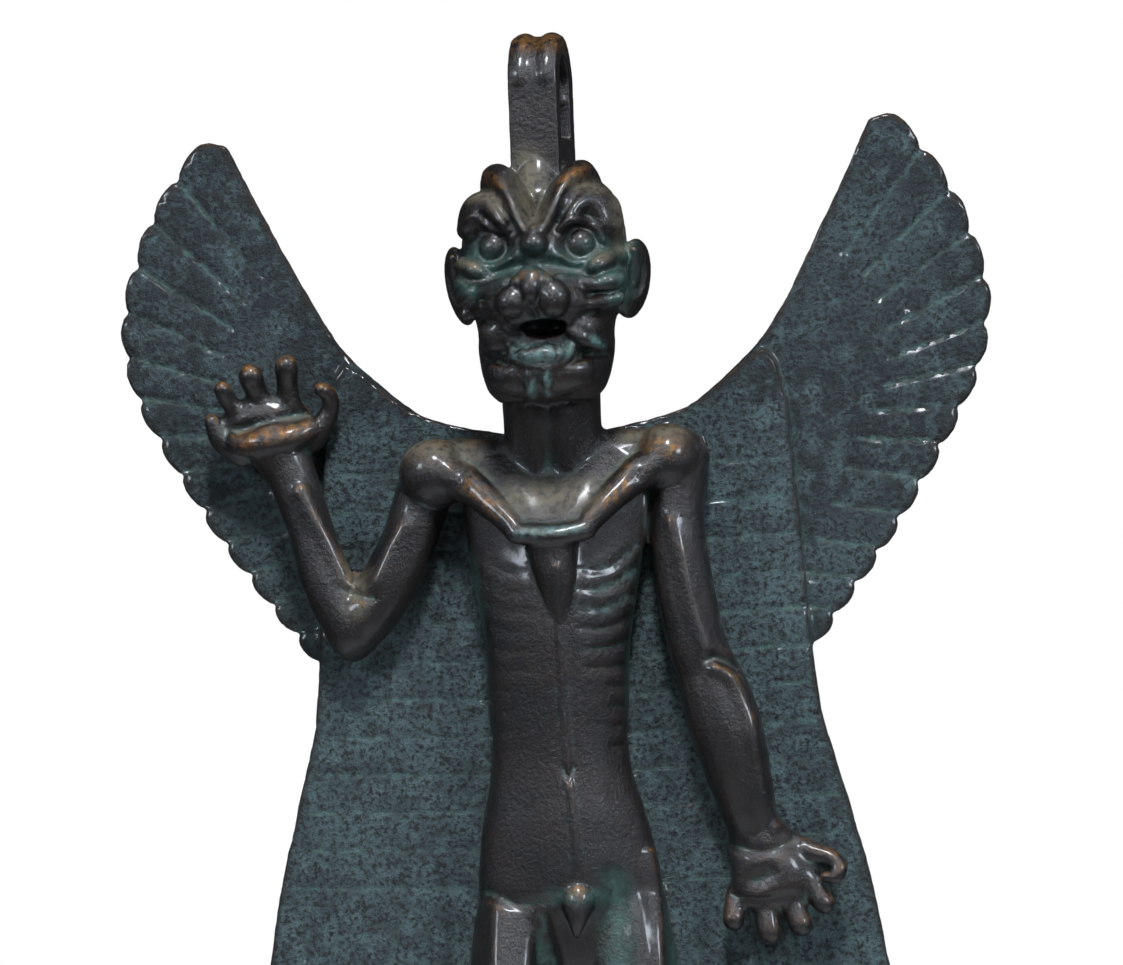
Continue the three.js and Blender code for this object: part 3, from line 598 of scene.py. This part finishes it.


# Where dust, corrosion and rubbed metal lie on the body, and a painted highlight on the chest ledge
bodyMarks = [
    ("dust", [(-14.5, 109.6), (-8.5, 108.8)], 2.2), ("dust", [(7.5, 109.6), (12.5, 109.8)], 1.6),
    ("dust", [(-20.1, 93.8), (-20.3, 99.0)], 1.8), ("dust", [(-3.5, 104), (3.5, 104)], 2.4),
    ("worn", [(9.6, 108.8), (12.2, 108.2)], 1.3), ("worn", [(-8.4, 105.4), (-5.4, 102.6)], 0.8),
    ("worn", [(7.4, 105.0), (5.4, 103.0)], 0.8), ("worn", [(-31.0, 110.8), (-24.6, 111.8)], 1.1),
    ("green", [(4.6, 65.5), (4.9, 56)], 2.4), ("green", [(-9.0, 98), (-8.0, 93)], 1.2),
    ("green", [(8.8, 97), (7.7, 90), (7.0, 84), (7.6, 79), (9.0, 75), (10.0, 70), (10.2, 56)], 1.1),
    # The pale mark along the ledge's crest is a painted highlight, a pale band where the light strikes it
    ("paleCrustAndHighlight", [(-3.2, 100.4), (3.0, 100.6)], 0.6), ("green", [(-1.6, 64.6), (3.4, 64.6)], 1.0),
]


def sculptBody(figure):
    clay = Clay(figure)
    for line, *settings in bodyStrokes:
        clay.stroke(line, *settings)
    for side in (-1, 1):
        for i in range(ribs["count"]):
            z = ribs["top"] - ribs["step"] * i
            inner = 2.0 + 0.1 * i if i < 6 else 4.6
            outer, rise = 8 - 0.25 * i, max(0, 2.2 - 0.4 * i)
            line = [(side * inner, z + 0.1, 0.5), (side * (inner + outer) / 2, z, 1), (side * outer, z + rise, 0.9)]
            # The first rib grooves on the viewer's right get the pale line mark, a painted highlight where the light
            # catches them
            paintedHighlightRibs = side > 0 and i < ribs["paintedHighlightRibs"]
            clay.stroke(line, ribs["reach"], ribs["depth"][side], "soft", mark="line" if paintedHighlightRibs else None)
    for name, line, reach in bodyMarks:
        clay.stroke(line, reach, 0, mark=name)
    clay.done()


# Hanging loop: a strap bent over front to back, its top parted by a groove into two rods
loop = {
    "width": 4.9, "depth": 9.6, "strap": 2.1, "top": 149.6, "bottom": 133, "holeBottom": 139.4, "turn": -6,
    "rodPlace": 1.33, "rod": 1.22, "rodTop": 150, "rodFoot": 143.4,
    "foot": [(0, 0, 139.4, 2.3, 4.3), (0, 0, 138.0, 2.6, 4.7), (0, -0.2, 136.6, 3.2, 5.0),
             (0, -0.6, 135.2, 4.0, 5.4), (0, -1.0, 133.6, 4.2, 5.9), (0, -1.2, 131.5, 3.4, 5.9)],
}


def archOutline(inset, bottom):
    half = loop["depth"] / 2 - inset
    springing = loop["top"] - loop["depth"] / 2
    arc = [(half * math.cos(a), springing + half * math.sin(a)) for a in np.linspace(0, math.pi, 25)]
    return [(half, bottom), *arc, (-half, bottom)]


def makeRod(side):
    half = 5 - loop["rod"]
    springing = loop["rodTop"] - loop["rod"] - half
    x = side * loop["rodPlace"]
    arc = [(x, -half * math.cos(a), springing + half * math.sin(a), loop["rod"]) for a in np.linspace(0, math.pi, 9)]
    thin = loop["rod"] * 0.7
    return addTube([(x, -half + 0.7, loop["rodFoot"], thin), *arc, (x, half - 0.7, loop["rodFoot"], thin)])


def makeLoop():
    strap = addPlate([archOutline(0, loop["bottom"]), archOutline(loop["strap"], loop["holeBottom"])],
                     loop["width"], turn=(90, 0, 90))
    strap = fuse("loop", [strap, makeRod(-1), makeRod(1)], 0.15, 5)
    foot = fuse("foot", [addLoft(loop["foot"])], 0.25, 2)
    hole = addPlate([archOutline(loop["strap"] + 0.1, loop["holeBottom"])], 20, turn=(90, 0, 90))
    carve(foot, [hole])
    return [turnAbout(strap, (0, 0, 0), loop["turn"]), turnAbout(foot, (0, 0, 0), loop["turn"])]


# Head: places are measured from its middle, before it is turned a little to the viewer's left
head = {
    "middle": (0, -3.2, 125.6), "turn": -3, "voxel": 0.13,
    "rings": [(0, -2.6, -12.4, 4.6, 4.4), (0, -1.9, -10.9, 5.9, 6.2), (0, -1.2, -7.8, 6.7, 7.2),
              (0, -0.6, -4.8, 6.8, 7.6), (0, -0.2, -1, 8.0, 8.0), (0, 0, 2.4, 8.2, 8.0), (0, 0.3, 5.4, 7.9, 7.4),
              (0, 0.6, 8.2, 6.8, 6.3), (0, 0.8, 9.8, 4.9, 4.8),
              (0, 0.8, 11.2, 2.8, 3.0)],
    "masses": [((0, -7.4, -3.0), (5.6, 3.4, 2.8)), ((0, -8.4, -2.2), (3.2, 2.6, 2.2)),
               ((0.1, -6.9, -9.6), (5.4, 2.8, 2.7)), ((-3.8, -6.2, -5.6), (2.3, 2.4, 2.5)),
               ((4.1, -6.2, -5.4), (2.3, 2.4, 2.5))],
    "cheekMass": ((5.6, -4.4, -1.0), (3.0, 3.2, 3.0)),
}
# Strokes on the skull, each a line on the front view with its reach and lift
skullStrokes = {
    "forehead": ([(-0.6, 11, 1.3), (-0.2, 8, 1), (0, 5.4, 0.6)], 2.5, -1.5, "soft"),
    "underBrow": ([(2.0, 4.2, 0.8), (2.9, 6.6, 1), (4.4, 8.4, 1), (6.2, 8.6, 1)], 0.8, -0.8, "soft"),
    "brow": ([(0.5, 4.2, 0.6), (1.4, 6.2, 0.85), (2.4, 8.0, 1), (3.7, 9.2, 1.1), (5.1, 9.4, 0.9)], 1.45, 1.6, "round"),
    "arch": ([(3.1, 5.2, 0.7), (3.8, 6.4, 0.95), (5.0, 7.1, 1.1), (6.2, 6.4, 1.1), (6.9, 4.7, 0.9)], 1.15, 1.2, "round"),
    "socket": ([(4.25, 2.9), (4.25, 2.9)], 2.7, -1.7, "soft"),
    "noseSide": ([(1.4, 0.9), (3.2, 0.5), (5.2, 0.2)], 1.1, -0.7, "soft"),
    "foldGap": ([(5.0, -0.6), (6.6, -0.3), (8.0, 0.6)], 0.6, -0.7, "soft"),
    "lowFoldGap": ([(5.4, -2.2), (6.8, -2.0), (8.0, -1.6)], 0.6, -0.7, "soft"),
    "underMuzzle": ([(3.2, -4.4), (4.8, -4.3), (6.4, -3.8)], 0.9, -0.3, "soft"),
    "jawFold": ([(3.2, -8.6), (4.6, -8.0), (6.4, -7.9)], 0.8, -0.6, "soft"),
}
# Balls laid on the face: spot, half sizes and sink
faceBalls = [
    ((4.2, 2.8), (1.45, 1.4, 1.6), 0.0), ((-4.3, 2.8), (1.5, 1.4, 1.55), 0.0), ((0, 2.9), (1.35, 1.4, 1.3), -0.1),
    ((2.0, -2.6), (1.6, 1.5, 1.9), 0.2), ((-2.1, -2.8), (1.65, 1.5, 1.6), 0.2),
    ((0.4, -8.0), (2.7, 1.5, 1.1), 0.1),
]
# Tubes laid on the face: stations of across, up and radius. The nose stands out and the cheek folds lie deep.
noseTubes = [
    [(-1.4, -1.0, 0.9), (-0.1, -0.5, 1.3), (1.3, -1.0, 0.9)],
    [(0.0, -0.7, 1.3), (-0.1, -1.8, 1.05), (-0.2, -2.8, 0.55)],
]
foldTubes = [
    [(3.2, -5.6, 0.5), (4.4, -6.5, 0.7), (5.6, -7.1, 0.6)], [(-2.7, -8.3, 0.5), (-4.2, -7.9, 0.6), (-5.5, -7.4, 0.5)],
    [(4.9, 0.1, 0.5), (6.3, 0.75, 0.9), (7.7, 1.6, 0.9)], [(-4.9, -0.1, 0.5), (-6.2, 0.65, 0.9), (-7.4, 1.3, 0.9)],
    [(5.4, -1.5, 0.5), (6.7, -1.1, 0.85), (7.8, -0.8, 0.9)], [(-5.1, -0.9, 0.5), (-6.3, -1.5, 0.85), (-7.4, -2.1, 0.9)],
    [(5.3, -3.2, 0.5), (6.6, -2.9, 0.85), (7.6, -2.6, 0.9)], [(-5.3, -3.0, 0.5), (-6.3, -3.3, 0.85), (-7.2, -3.6, 0.8)],
]
faceTubes = [
    [(2.3, 4.2, 0.35), (3.7, 5.2, 0.45), (4.9, 4.9, 0.5), (5.9, 4.1, 0.45), (6.4, 3.0, 0.35)],
    [(-2.5, 4.4, 0.35), (-3.9, 4.6, 0.45), (-5.1, 5.3, 0.5), (-6.1, 6.0, 0.45), (-6.9, 5.7, 0.35)],
    [(2.4, 1.6, 0.3), (3.7, 0.9, 0.4), (5.1, 1.1, 0.4), (6.1, 2.0, 0.3)],
    [(-2.5, 1.5, 0.3), (-4.1, 0.9, 0.4), (-5.5, 1.1, 0.4), (-6.3, 2.2, 0.3)],
    [(2.5, -0.9, 0.9), (4.0, -1.1, 0.9), (5.4, -1.2, 0.8)], [(-2.6, -1.0, 0.9), (-4.1, -1.3, 0.9), (-5.5, -1.6, 0.8)],
    [(-2.6, -6.9, 0.5), (-1.9, -8.4, 0.6), (0.5, -9.3, 0.6), (2.6, -8.6, 0.6), (3.4, -7.1, 0.5)],
    [(-0.8, -9.9, 0.5), (-0.8, -11.0, 0.5), (-0.7, -12.0, 0.4)], [(0.9, -9.9, 0.5), (0.95, -11.0, 0.5), (0.9, -12.0, 0.4)],
]
# Where corrosion, dust and rubbed metal lie on the face, and pale crust with painted highlights on the lips, teeth and
# beard
faceMarks = [
    ("green", [(-6.2, 2.2), (-4.2, 0.8), (-2.2, 1.0), (0, 1.2), (2.2, 1.0), (4.2, 0.8), (6.2, 2.2)], 2.0),
    ("green", [(-6.2, -1.6), (-7.4, -0.6)], 1.2), ("green", [(6.2, -0.6), (7.8, -0.2)], 1.2),
    ("green", [(7.8, -2.6), (8.8, 0.4), (8.6, 2.6)], 1.4), ("green", [(1.0, -4.8), (-0.4, -4.8)], 0.8),
    # The pale marks on the lower lip and teeth, the right lip corner and the middles of the beard strands are pale
    # crust and painted highlight
    ("paleCrustAndHighlight", [(-1.9, -7.4), (0.4, -8.0), (2.6, -7.6)], 1.3), ("paleCrustAndHighlight", [(5.4, -6.6), (6.0, -7.0)], 0.7),
    ("paleCrustAndHighlight", [(-0.8, -10.0), (-0.7, -11.8)], 0.6), ("paleCrustAndHighlight", [(0.9, -10.0), (0.9, -11.8)], 0.6),
    ("dust", [(-0.8, 11.5), (-0.5, 9), (0, 6)], 2.2),
    ("dust", [(-6.6, 8.0), (-4.4, 7.8), (-3.2, 6.2)], 1.0), ("dust", [(4.0, 8.8), (6.6, 8.4)], 1.1),
    ("dust", [(8.0, 7.5), (8.4, 4.4), (8.3, 2.4)], 1.1), ("dust", [(7.0, 1.6), (5.8, 1.2)], 0.9),
    ("dust", [(-7.6, 1.6), (-5.8, 1.0)], 0.8),
    ("worn", [(-1.9, 23.6), (2.3, 23.6)], 1.8), ("worn", [(-4.8, 9.9), (-3.2, 8.9)], 0.8),
    ("worn", [(2.6, 8.8), (4.8, 10.2)], 0.8), ("worn", [(-1.4, -0.3), (1.3, -0.3)], 0.6),
]
mouth = {"spot": (0.75, -5.4), "half": (2.4, 2.6, 0.95), "sink": 0.1}
ear = {
    "shell": ((8.55, 0.6, -0.5), (1.2, 2.8, 4.0), (0, 10, -26)),
    "hollow": ((9.5, -0.9, -0.2), (0.95, 1.9, 2.8), (0, 10, -26)),
    "fold": [(9.0, -1.3, 2.2, 0.4), (9.1, -0.2, 0.4, 0.5), (8.5, 0.4, -1.6, 0.45)],
}


def mirrorBall(ball, side):
    (x, y, z), half, *turn = ball
    turns = [(angleX, side * angleY, side * angleZ) for angleX, angleY, angleZ in turn]
    return ((side * x, y, z), half, *turns)


def makeHead():
    masses = [addLoft(head["rings"]), *[addBall(*ball) for ball in head["masses"]]]
    masses += [addBall(*mirrorBall(head["cheekMass"], side)) for side in (-1, 1)]
    skull = fuse("skull", masses, 0.2, 8)
    clay = Clay(skull)
    for line, *settings in skullStrokes.values():
        clay.mirrored(line, *settings)
    skull = fuse("skull", [clay.done()], 0.16, 2)
    hole = layBall(skull, mouth["spot"], mouth["half"], mouth["sink"])
    forms = [layBall(skull, *ball) for ball in faceBalls]
    for lines, sink in ((faceTubes, 0.15), (noseTubes, -0.25), (foldTubes, 0.5)):
        forms += [layTube(skull, line, sink) for line in lines]
    forms += [addBall(*mirrorBall(ear["shell"], side)) for side in (-1, 1)]
    carve(skull, [hole])
    face = fuse("head", [skull, *forms], head["voxel"], 3)
    carve(face, [addBall(*mirrorBall(ear["hollow"], side)) for side in (-1, 1)])
    folds = [addTube(mirrorPoints(ear["fold"], side)) for side in (-1, 1)]
    face = fuse("head", [face, *folds], head["voxel"], 1)
    clay = Clay(face)
    clay.stroke([(-0.2, -3.2), (0.2, -4.4)], 0.5, -0.4, "sharp")
    clay.done()
    face.data.transform(Matrix.Translation(head["middle"]))
    turnAbout(face, head["middle"], head["turn"])
    face = fuse("head", [face, *makeLoop()], head["voxel"], 2)
    clay = Clay(face)
    for name, line, reach in faceMarks:
        clay.stroke([(x + head["middle"][0] - 0.4, z + head["middle"][2]) for x, z in line], reach, 0, mark=name)
    clay.done()
    roughen(face, 1.4, 0.08)
    return face


# Base: a low block under the feet
base = {"width": 44, "depth": 56, "height": 7.5, "bevel": 0.9, "voxel": 0.5, "triangles": 9000}


def makeBase():
    bpy.ops.mesh.primitive_cube_add(size=1, location=(0, 0, base["height"] / 2))
    bpy.context.object.scale = (base["width"], base["depth"], base["height"])
    block = bakePlace(bpy.context.object)
    applyModifier(block, "BEVEL", width=base["bevel"], segments=3)
    block = fuse("base", [block], base["voxel"], 1)
    points = getPoints(block)
    inner = points[:, 2] > 0.3
    roughen(block, 6, 0.12)
    moved = getPoints(block)
    moved[~inner] = points[~inner]
    moved[:, 2] = np.maximum(moved[:, 2], 0)
    setPoints(block, moved)
    return block


# Unite the pieces of the model into one casting

def unite(whole, parts):
    for part in parts:
        applyModifier(whole, "BOOLEAN", operation="UNION", solver="MANIFOLD", object=part)
        bpy.data.objects.remove(part)
    return whole


def nearnessTo(obj, others, reach):
    points = getPoints(obj)
    near = np.zeros(len(points))
    for other in others:
        tree = BVHTree.FromPolygons([v.co for v in other.data.vertices], [p.vertices for p in other.data.polygons])
        for i, point in enumerate(points):
            hit = tree.find_nearest(Vector(point), reach)
            if hit[0] is not None:
                near[i] = max(near[i], 1 - hit[3] / reach)
    return near


# Each piece with its maker, its share of wing patina and its triangles
pieces = {
    "wings": (makeWings, 1.0, 62000),
    "body": (makeBody, 0.0, 60000),
    "head": (makeHead, 0.0, 60000),
    "base": (makeBase, 0.5, 8000),
}


def makeCasting(names):
    made = []
    for name in names:
        maker, wingness, triangles = pieces[name]
        piece = maker()
        print(name, len(piece.data.vertices), "points")
        markRelief(piece, "relief", 8)
        setMark(piece, "wing", np.full(len(piece.data.vertices), wingness))
        setMark(piece, "up", getNormals(piece)[:, 2])
        thin(piece, triangles)
        made.append(piece)
    casting = unite(made[0], made[1:])
    casting.name = "bronzeDemon"
    casting.data.transform(Matrix.Scale(0.001, 4))
    pick(casting)
    bpy.ops.object.shade_smooth()
    print("casting", len(casting.data.vertices), "points", len(casting.data.polygons), "faces")
    return casting


# Materials

def srgb(code, alpha=1.0):
    parts = [int(code[i:i + 2], 16) / 255 for i in (1, 3, 5)]
    return (*[p / 12.92 if p <= 0.04045 else ((p + 0.055) / 1.055) ** 2.4 for p in parts], alpha)


# One pattern step of this many millimetres; Object coordinates are in metres
def perMm(size):
    return 1000 / size


def newMaterial(name):
    material = bpy.data.materials.new(name)
    material.use_nodes = True
    tree = material.node_tree
    tree.nodes.clear()
    return material, tree


# Adds a node; a setting may be a plain value or another node's output
def addNode(tree, kind, inputs=None, **settings):
    node = tree.nodes.new(kind)
    for name, value in settings.items():
        setattr(node, name, value)
    for name, value in (inputs or {}).items():
        if isinstance(value, bpy.types.NodeSocket):
            tree.links.new(value, node.inputs[name])
        else:
            node.inputs[name].default_value = value
    return node


patina = {
    "body": "#0f0c0b", "bodyWarm": "#1e1511", "bodyCold": "#0e1114",
    "wing": "#182326", "wingLight": "#465a5c", "wingDark": "#0b0f11",
    "green": "#2f4b45", "paleGreenAndHighlight": "#5c7a76", "dust": "#5b5443", "rubbed": "#8a6236", "edge": "#0f0c0b",
}


# Cast bronze under an old waxed patina: nearly black on the body, rough and green-grey on the wings,
# rubbed to brown metal on crests, with green corrosion and dust in the hollows and painted highlights in pale green on
# a few ridges and grooves
def makeBronze():
    material, tree = newMaterial("patinatedBronze")
    place = addNode(tree, "ShaderNodeTexCoord").outputs["Object"]

    def attribute(name):
        return addNode(tree, "ShaderNodeAttribute", attribute_name=name).outputs["Fac"]

    def noise(size, detail=4, rough=0.55):
        return addNode(tree, "ShaderNodeTexNoise", {"Vector": place, "Scale": perMm(size), "Detail": detail,
                                                    "Roughness": rough}).outputs["Fac"]

    def span(value, low, high, to=(0, 1)):
        return addNode(tree, "ShaderNodeMapRange", {"Value": value, "From Min": low, "From Max": high,
                                                    "To Min": to[0], "To Max": to[1]}).outputs["Result"]

    def combine(kind, a, b):
        return addNode(tree, "ShaderNodeMath", {0: a, 1: b}, operation=kind, use_clamp=True).outputs[0]

    def times(a, b):
        return combine("MULTIPLY", a, b)

    def mix(share, a, b):
        return addNode(tree, "ShaderNodeMix", {"Factor": share, "A": a, "B": b}, data_type="RGBA").outputs["Result"]

    def paint(colour, share, name):
        return mix(share, colour, srgb(patina[name]))

    relief = attribute("relief")
    wingness = attribute("wing")
    upward = span(attribute("up"), 0.0, 0.6)
    patches = noise(1.1)
    crest = span(relief, 0.3, 1.1)
    hollow = span(relief, -0.25, -1.2)

    bodyColour = mix(span(noise(4), 0.4, 0.7), srgb(patina["body"]), srgb(patina["bodyWarm"]))
    bodyColour = paint(bodyColour, span(noise(1.2), 0.5, 0.75), "bodyCold")
    speckle = noise(0.5, 6, 0.7)
    cloudy = combine("MAXIMUM", span(noise(11, 3), 0.48, 0.72, (0, 0.7)), span(noise(2.2, 5, 0.7), 0.45, 0.68))
    # The lower plates are made lighter than the upper ones, by their place alone
    cloudy = combine("ADD", cloudy, times(attribute("lower"), 0.4))
    wingColour = mix(cloudy, srgb(patina["wing"]), srgb(patina["wingLight"]))
    wingColour = paint(wingColour, span(speckle, 0.47, 0.6), "wingDark")
    wingColour = paint(wingColour, times(crest, 0.9), "edge")
    colour = mix(wingness, bodyColour, wingColour)
    colour = paint(colour, times(times(hollow, 0.75), span(patches, 0.35, 0.6)), "green")
    colour = paint(colour, times(attribute("green"), span(patches, 0.2, 0.6)), "green")
    # Pale green patina in the wing's feather grooves, and a painted highlight along the first rib grooves on the
    # viewer's right
    colour = paint(colour, times(attribute("line"), times(0.4, span(patches, 0.42, 0.62))), "paleGreenAndHighlight")
    # Pale green crust and painted highlight where the pale mark lies: the chest ledge, lips, teeth and beard strands
    colour = paint(colour, times(attribute("paleCrustAndHighlight"), span(noise(0.8), 0.35, 0.6)), "paleGreenAndHighlight")
    dustShare = combine("MAXIMUM", times(attribute("dust"), 0.9), times(times(hollow, upward), 0.6))
    colour = paint(colour, times(dustShare, span(noise(0.7, 5), 0.3, 0.55)), "dust")
    rubbedShare = times(times(crest, upward), times(span(noise(0.9), 0.4, 0.65), span(wingness, 0, 1, (1, 0.25))))
    rubbedShare = combine("MAXIMUM", rubbedShare, times(attribute("worn"), span(noise(0.8, 5), 0.4, 0.6)))
    colour = paint(colour, times(rubbedShare, 0.8), "rubbed")

    grain = addNode(tree, "ShaderNodeBump", {"Height": noise(0.24, 3), "Strength": span(wingness, 0, 1, (0.45, 1)), "Distance": 0.00007})
    pits = addNode(tree, "ShaderNodeBump", {"Height": times(speckle, span(wingness, 0, 1, (0.3, 1))),
                                            "Strength": 1.0, "Distance": 0.0005, "Normal": grain.outputs[0]})
    matt = combine("MAXIMUM", dustShare, times(wingness, 0.5))
    shader = addNode(tree, "ShaderNodeBsdfPrincipled", {
        "Base Color": colour, "Metallic": times(rubbedShare, 0.7), "Roughness": span(matt, 0, 1, (0.33, 0.7)),
        "Coat Weight": span(matt, 0, 0.7, (0.3, 0.3)), "Coat Roughness": 0.16, "Normal": pits.outputs[0]})
    addNode(tree, "ShaderNodeOutputMaterial", {"Surface": shader.outputs[0]})
    return material


# Matt white studio board, fading out at its rim
def makeFloorMaterial():
    material, tree = newMaterial("paleBoard")
    board = addNode(tree, "ShaderNodeBsdfPrincipled", {"Base Color": srgb("#f2f1ee"), "Roughness": 0.9})
    nothing = addNode(tree, "ShaderNodeBsdfTransparent")
    place = addNode(tree, "ShaderNodeTexCoord").outputs["Object"]
    out = addNode(tree, "ShaderNodeVectorMath", {0: place}, operation="LENGTH").outputs["Value"]
    rim = addNode(tree, "ShaderNodeMapRange", {"Value": out, "From Min": 0.04, "From Max": 0.16},
                  interpolation_type="SMOOTHSTEP").outputs["Result"]
    mixed = addNode(tree, "ShaderNodeMixShader", {0: rim, 1: board.outputs[0], 2: nothing.outputs[0]})
    addNode(tree, "ShaderNodeOutputMaterial", {"Surface": mixed.outputs[0]})
    return material


# Studio: floor, world, lights and the camera at the photograph's place
photoView = {
    "azimuth": 4.14, "elevation": -1.28, "roll": 2.22, "distance": 0.804,
    "pixelsPerMetre": 10106, "width": 1123, "height": 965,
    "point": (0, 0, 0.105), "pixel": (555.9, 486.3), "sensor": 36,
}
lights = [
    # name, place, size, power and colour
    ("key", (0.05, -0.42, 0.66), 0.12, 6.4, "#f4f8ff"),
    ("right", (0.46, -0.38, 0.32), 0.12, 2.3, "#e8f2ff"),
    ("left", (-0.42, -0.42, 0.34), 0.12, 1.7, "#e8f2ff"),
]


def makeStudio():
    bpy.ops.mesh.primitive_circle_add(vertices=96, radius=0.2, fill_type="NGON")
    floor = bpy.context.object
    floor.name = "floor"
    floor.data.materials.append(makeFloorMaterial())
    for name, place, size, power, colour in lights:
        bpy.ops.object.light_add(type="AREA", location=place)
        light = bpy.context.object
        light.name = name
        light.data.size = size
        light.data.energy = power
        light.data.color = srgb(colour)[:3]
        aim = Vector((0, 0, 0.095)) - Vector(place)
        light.rotation_euler = aim.to_track_quat("-Z", "Y").to_euler()
    world = bpy.data.worlds.new("studio")
    bpy.context.scene.world = world
    world.use_nodes = True
    tree = world.node_tree
    tree.nodes.clear()
    seen = addNode(tree, "ShaderNodeBackground", {"Color": srgb("#ffffff"), "Strength": 1.0})
    around = addNode(tree, "ShaderNodeBackground", {"Color": srgb("#dfe8f2"), "Strength": 0.05})
    rays = addNode(tree, "ShaderNodeLightPath")
    mixed = addNode(tree, "ShaderNodeMixShader", {0: rays.outputs["Is Camera Ray"]})
    tree.links.new(around.outputs[0], mixed.inputs[1])
    tree.links.new(seen.outputs[0], mixed.inputs[2])
    addNode(tree, "ShaderNodeOutputWorld", {"Surface": mixed.outputs[0]})
    bpy.context.scene.view_settings.view_transform = "Standard"


def makeCamera():
    azimuth, elevation, roll = [math.radians(photoView[k]) for k in ("azimuth", "elevation", "roll")]
    away = Vector((math.sin(azimuth) * math.cos(elevation), -math.cos(azimuth) * math.cos(elevation),
                   math.sin(elevation)))
    level = Vector((math.cos(azimuth), math.sin(azimuth), 0))
    upright = away.cross(level)
    right = level * math.cos(roll) - upright * math.sin(roll)
    up = level * math.sin(roll) + upright * math.cos(roll)
    pixelX, pixelY = photoView["pixel"]
    aim = (Vector(photoView["point"])
           + right * (photoView["width"] / 2 - pixelX) / photoView["pixelsPerMetre"]
           + up * (pixelY - photoView["height"] / 2) / photoView["pixelsPerMetre"])
    bpy.ops.object.camera_add(location=aim + away * photoView["distance"])
    camera = bpy.context.object
    camera.rotation_euler = Matrix((right, up, away)).transposed().to_euler()
    camera.data.sensor_width = photoView["sensor"]
    focal = photoView["pixelsPerMetre"] * photoView["distance"]
    camera.data.lens = focal * photoView["sensor"] / photoView["width"]
    camera.data.clip_start = 0.01
    camera.data.clip_end = 50
    bpy.context.scene.camera = camera


makeCamera()
makeStudio()
casting = makeCasting(pieces)
casting.data.materials.clear()
casting.data.materials.append(makeBronze())
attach(casting, "root")
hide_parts("demon_figurine")
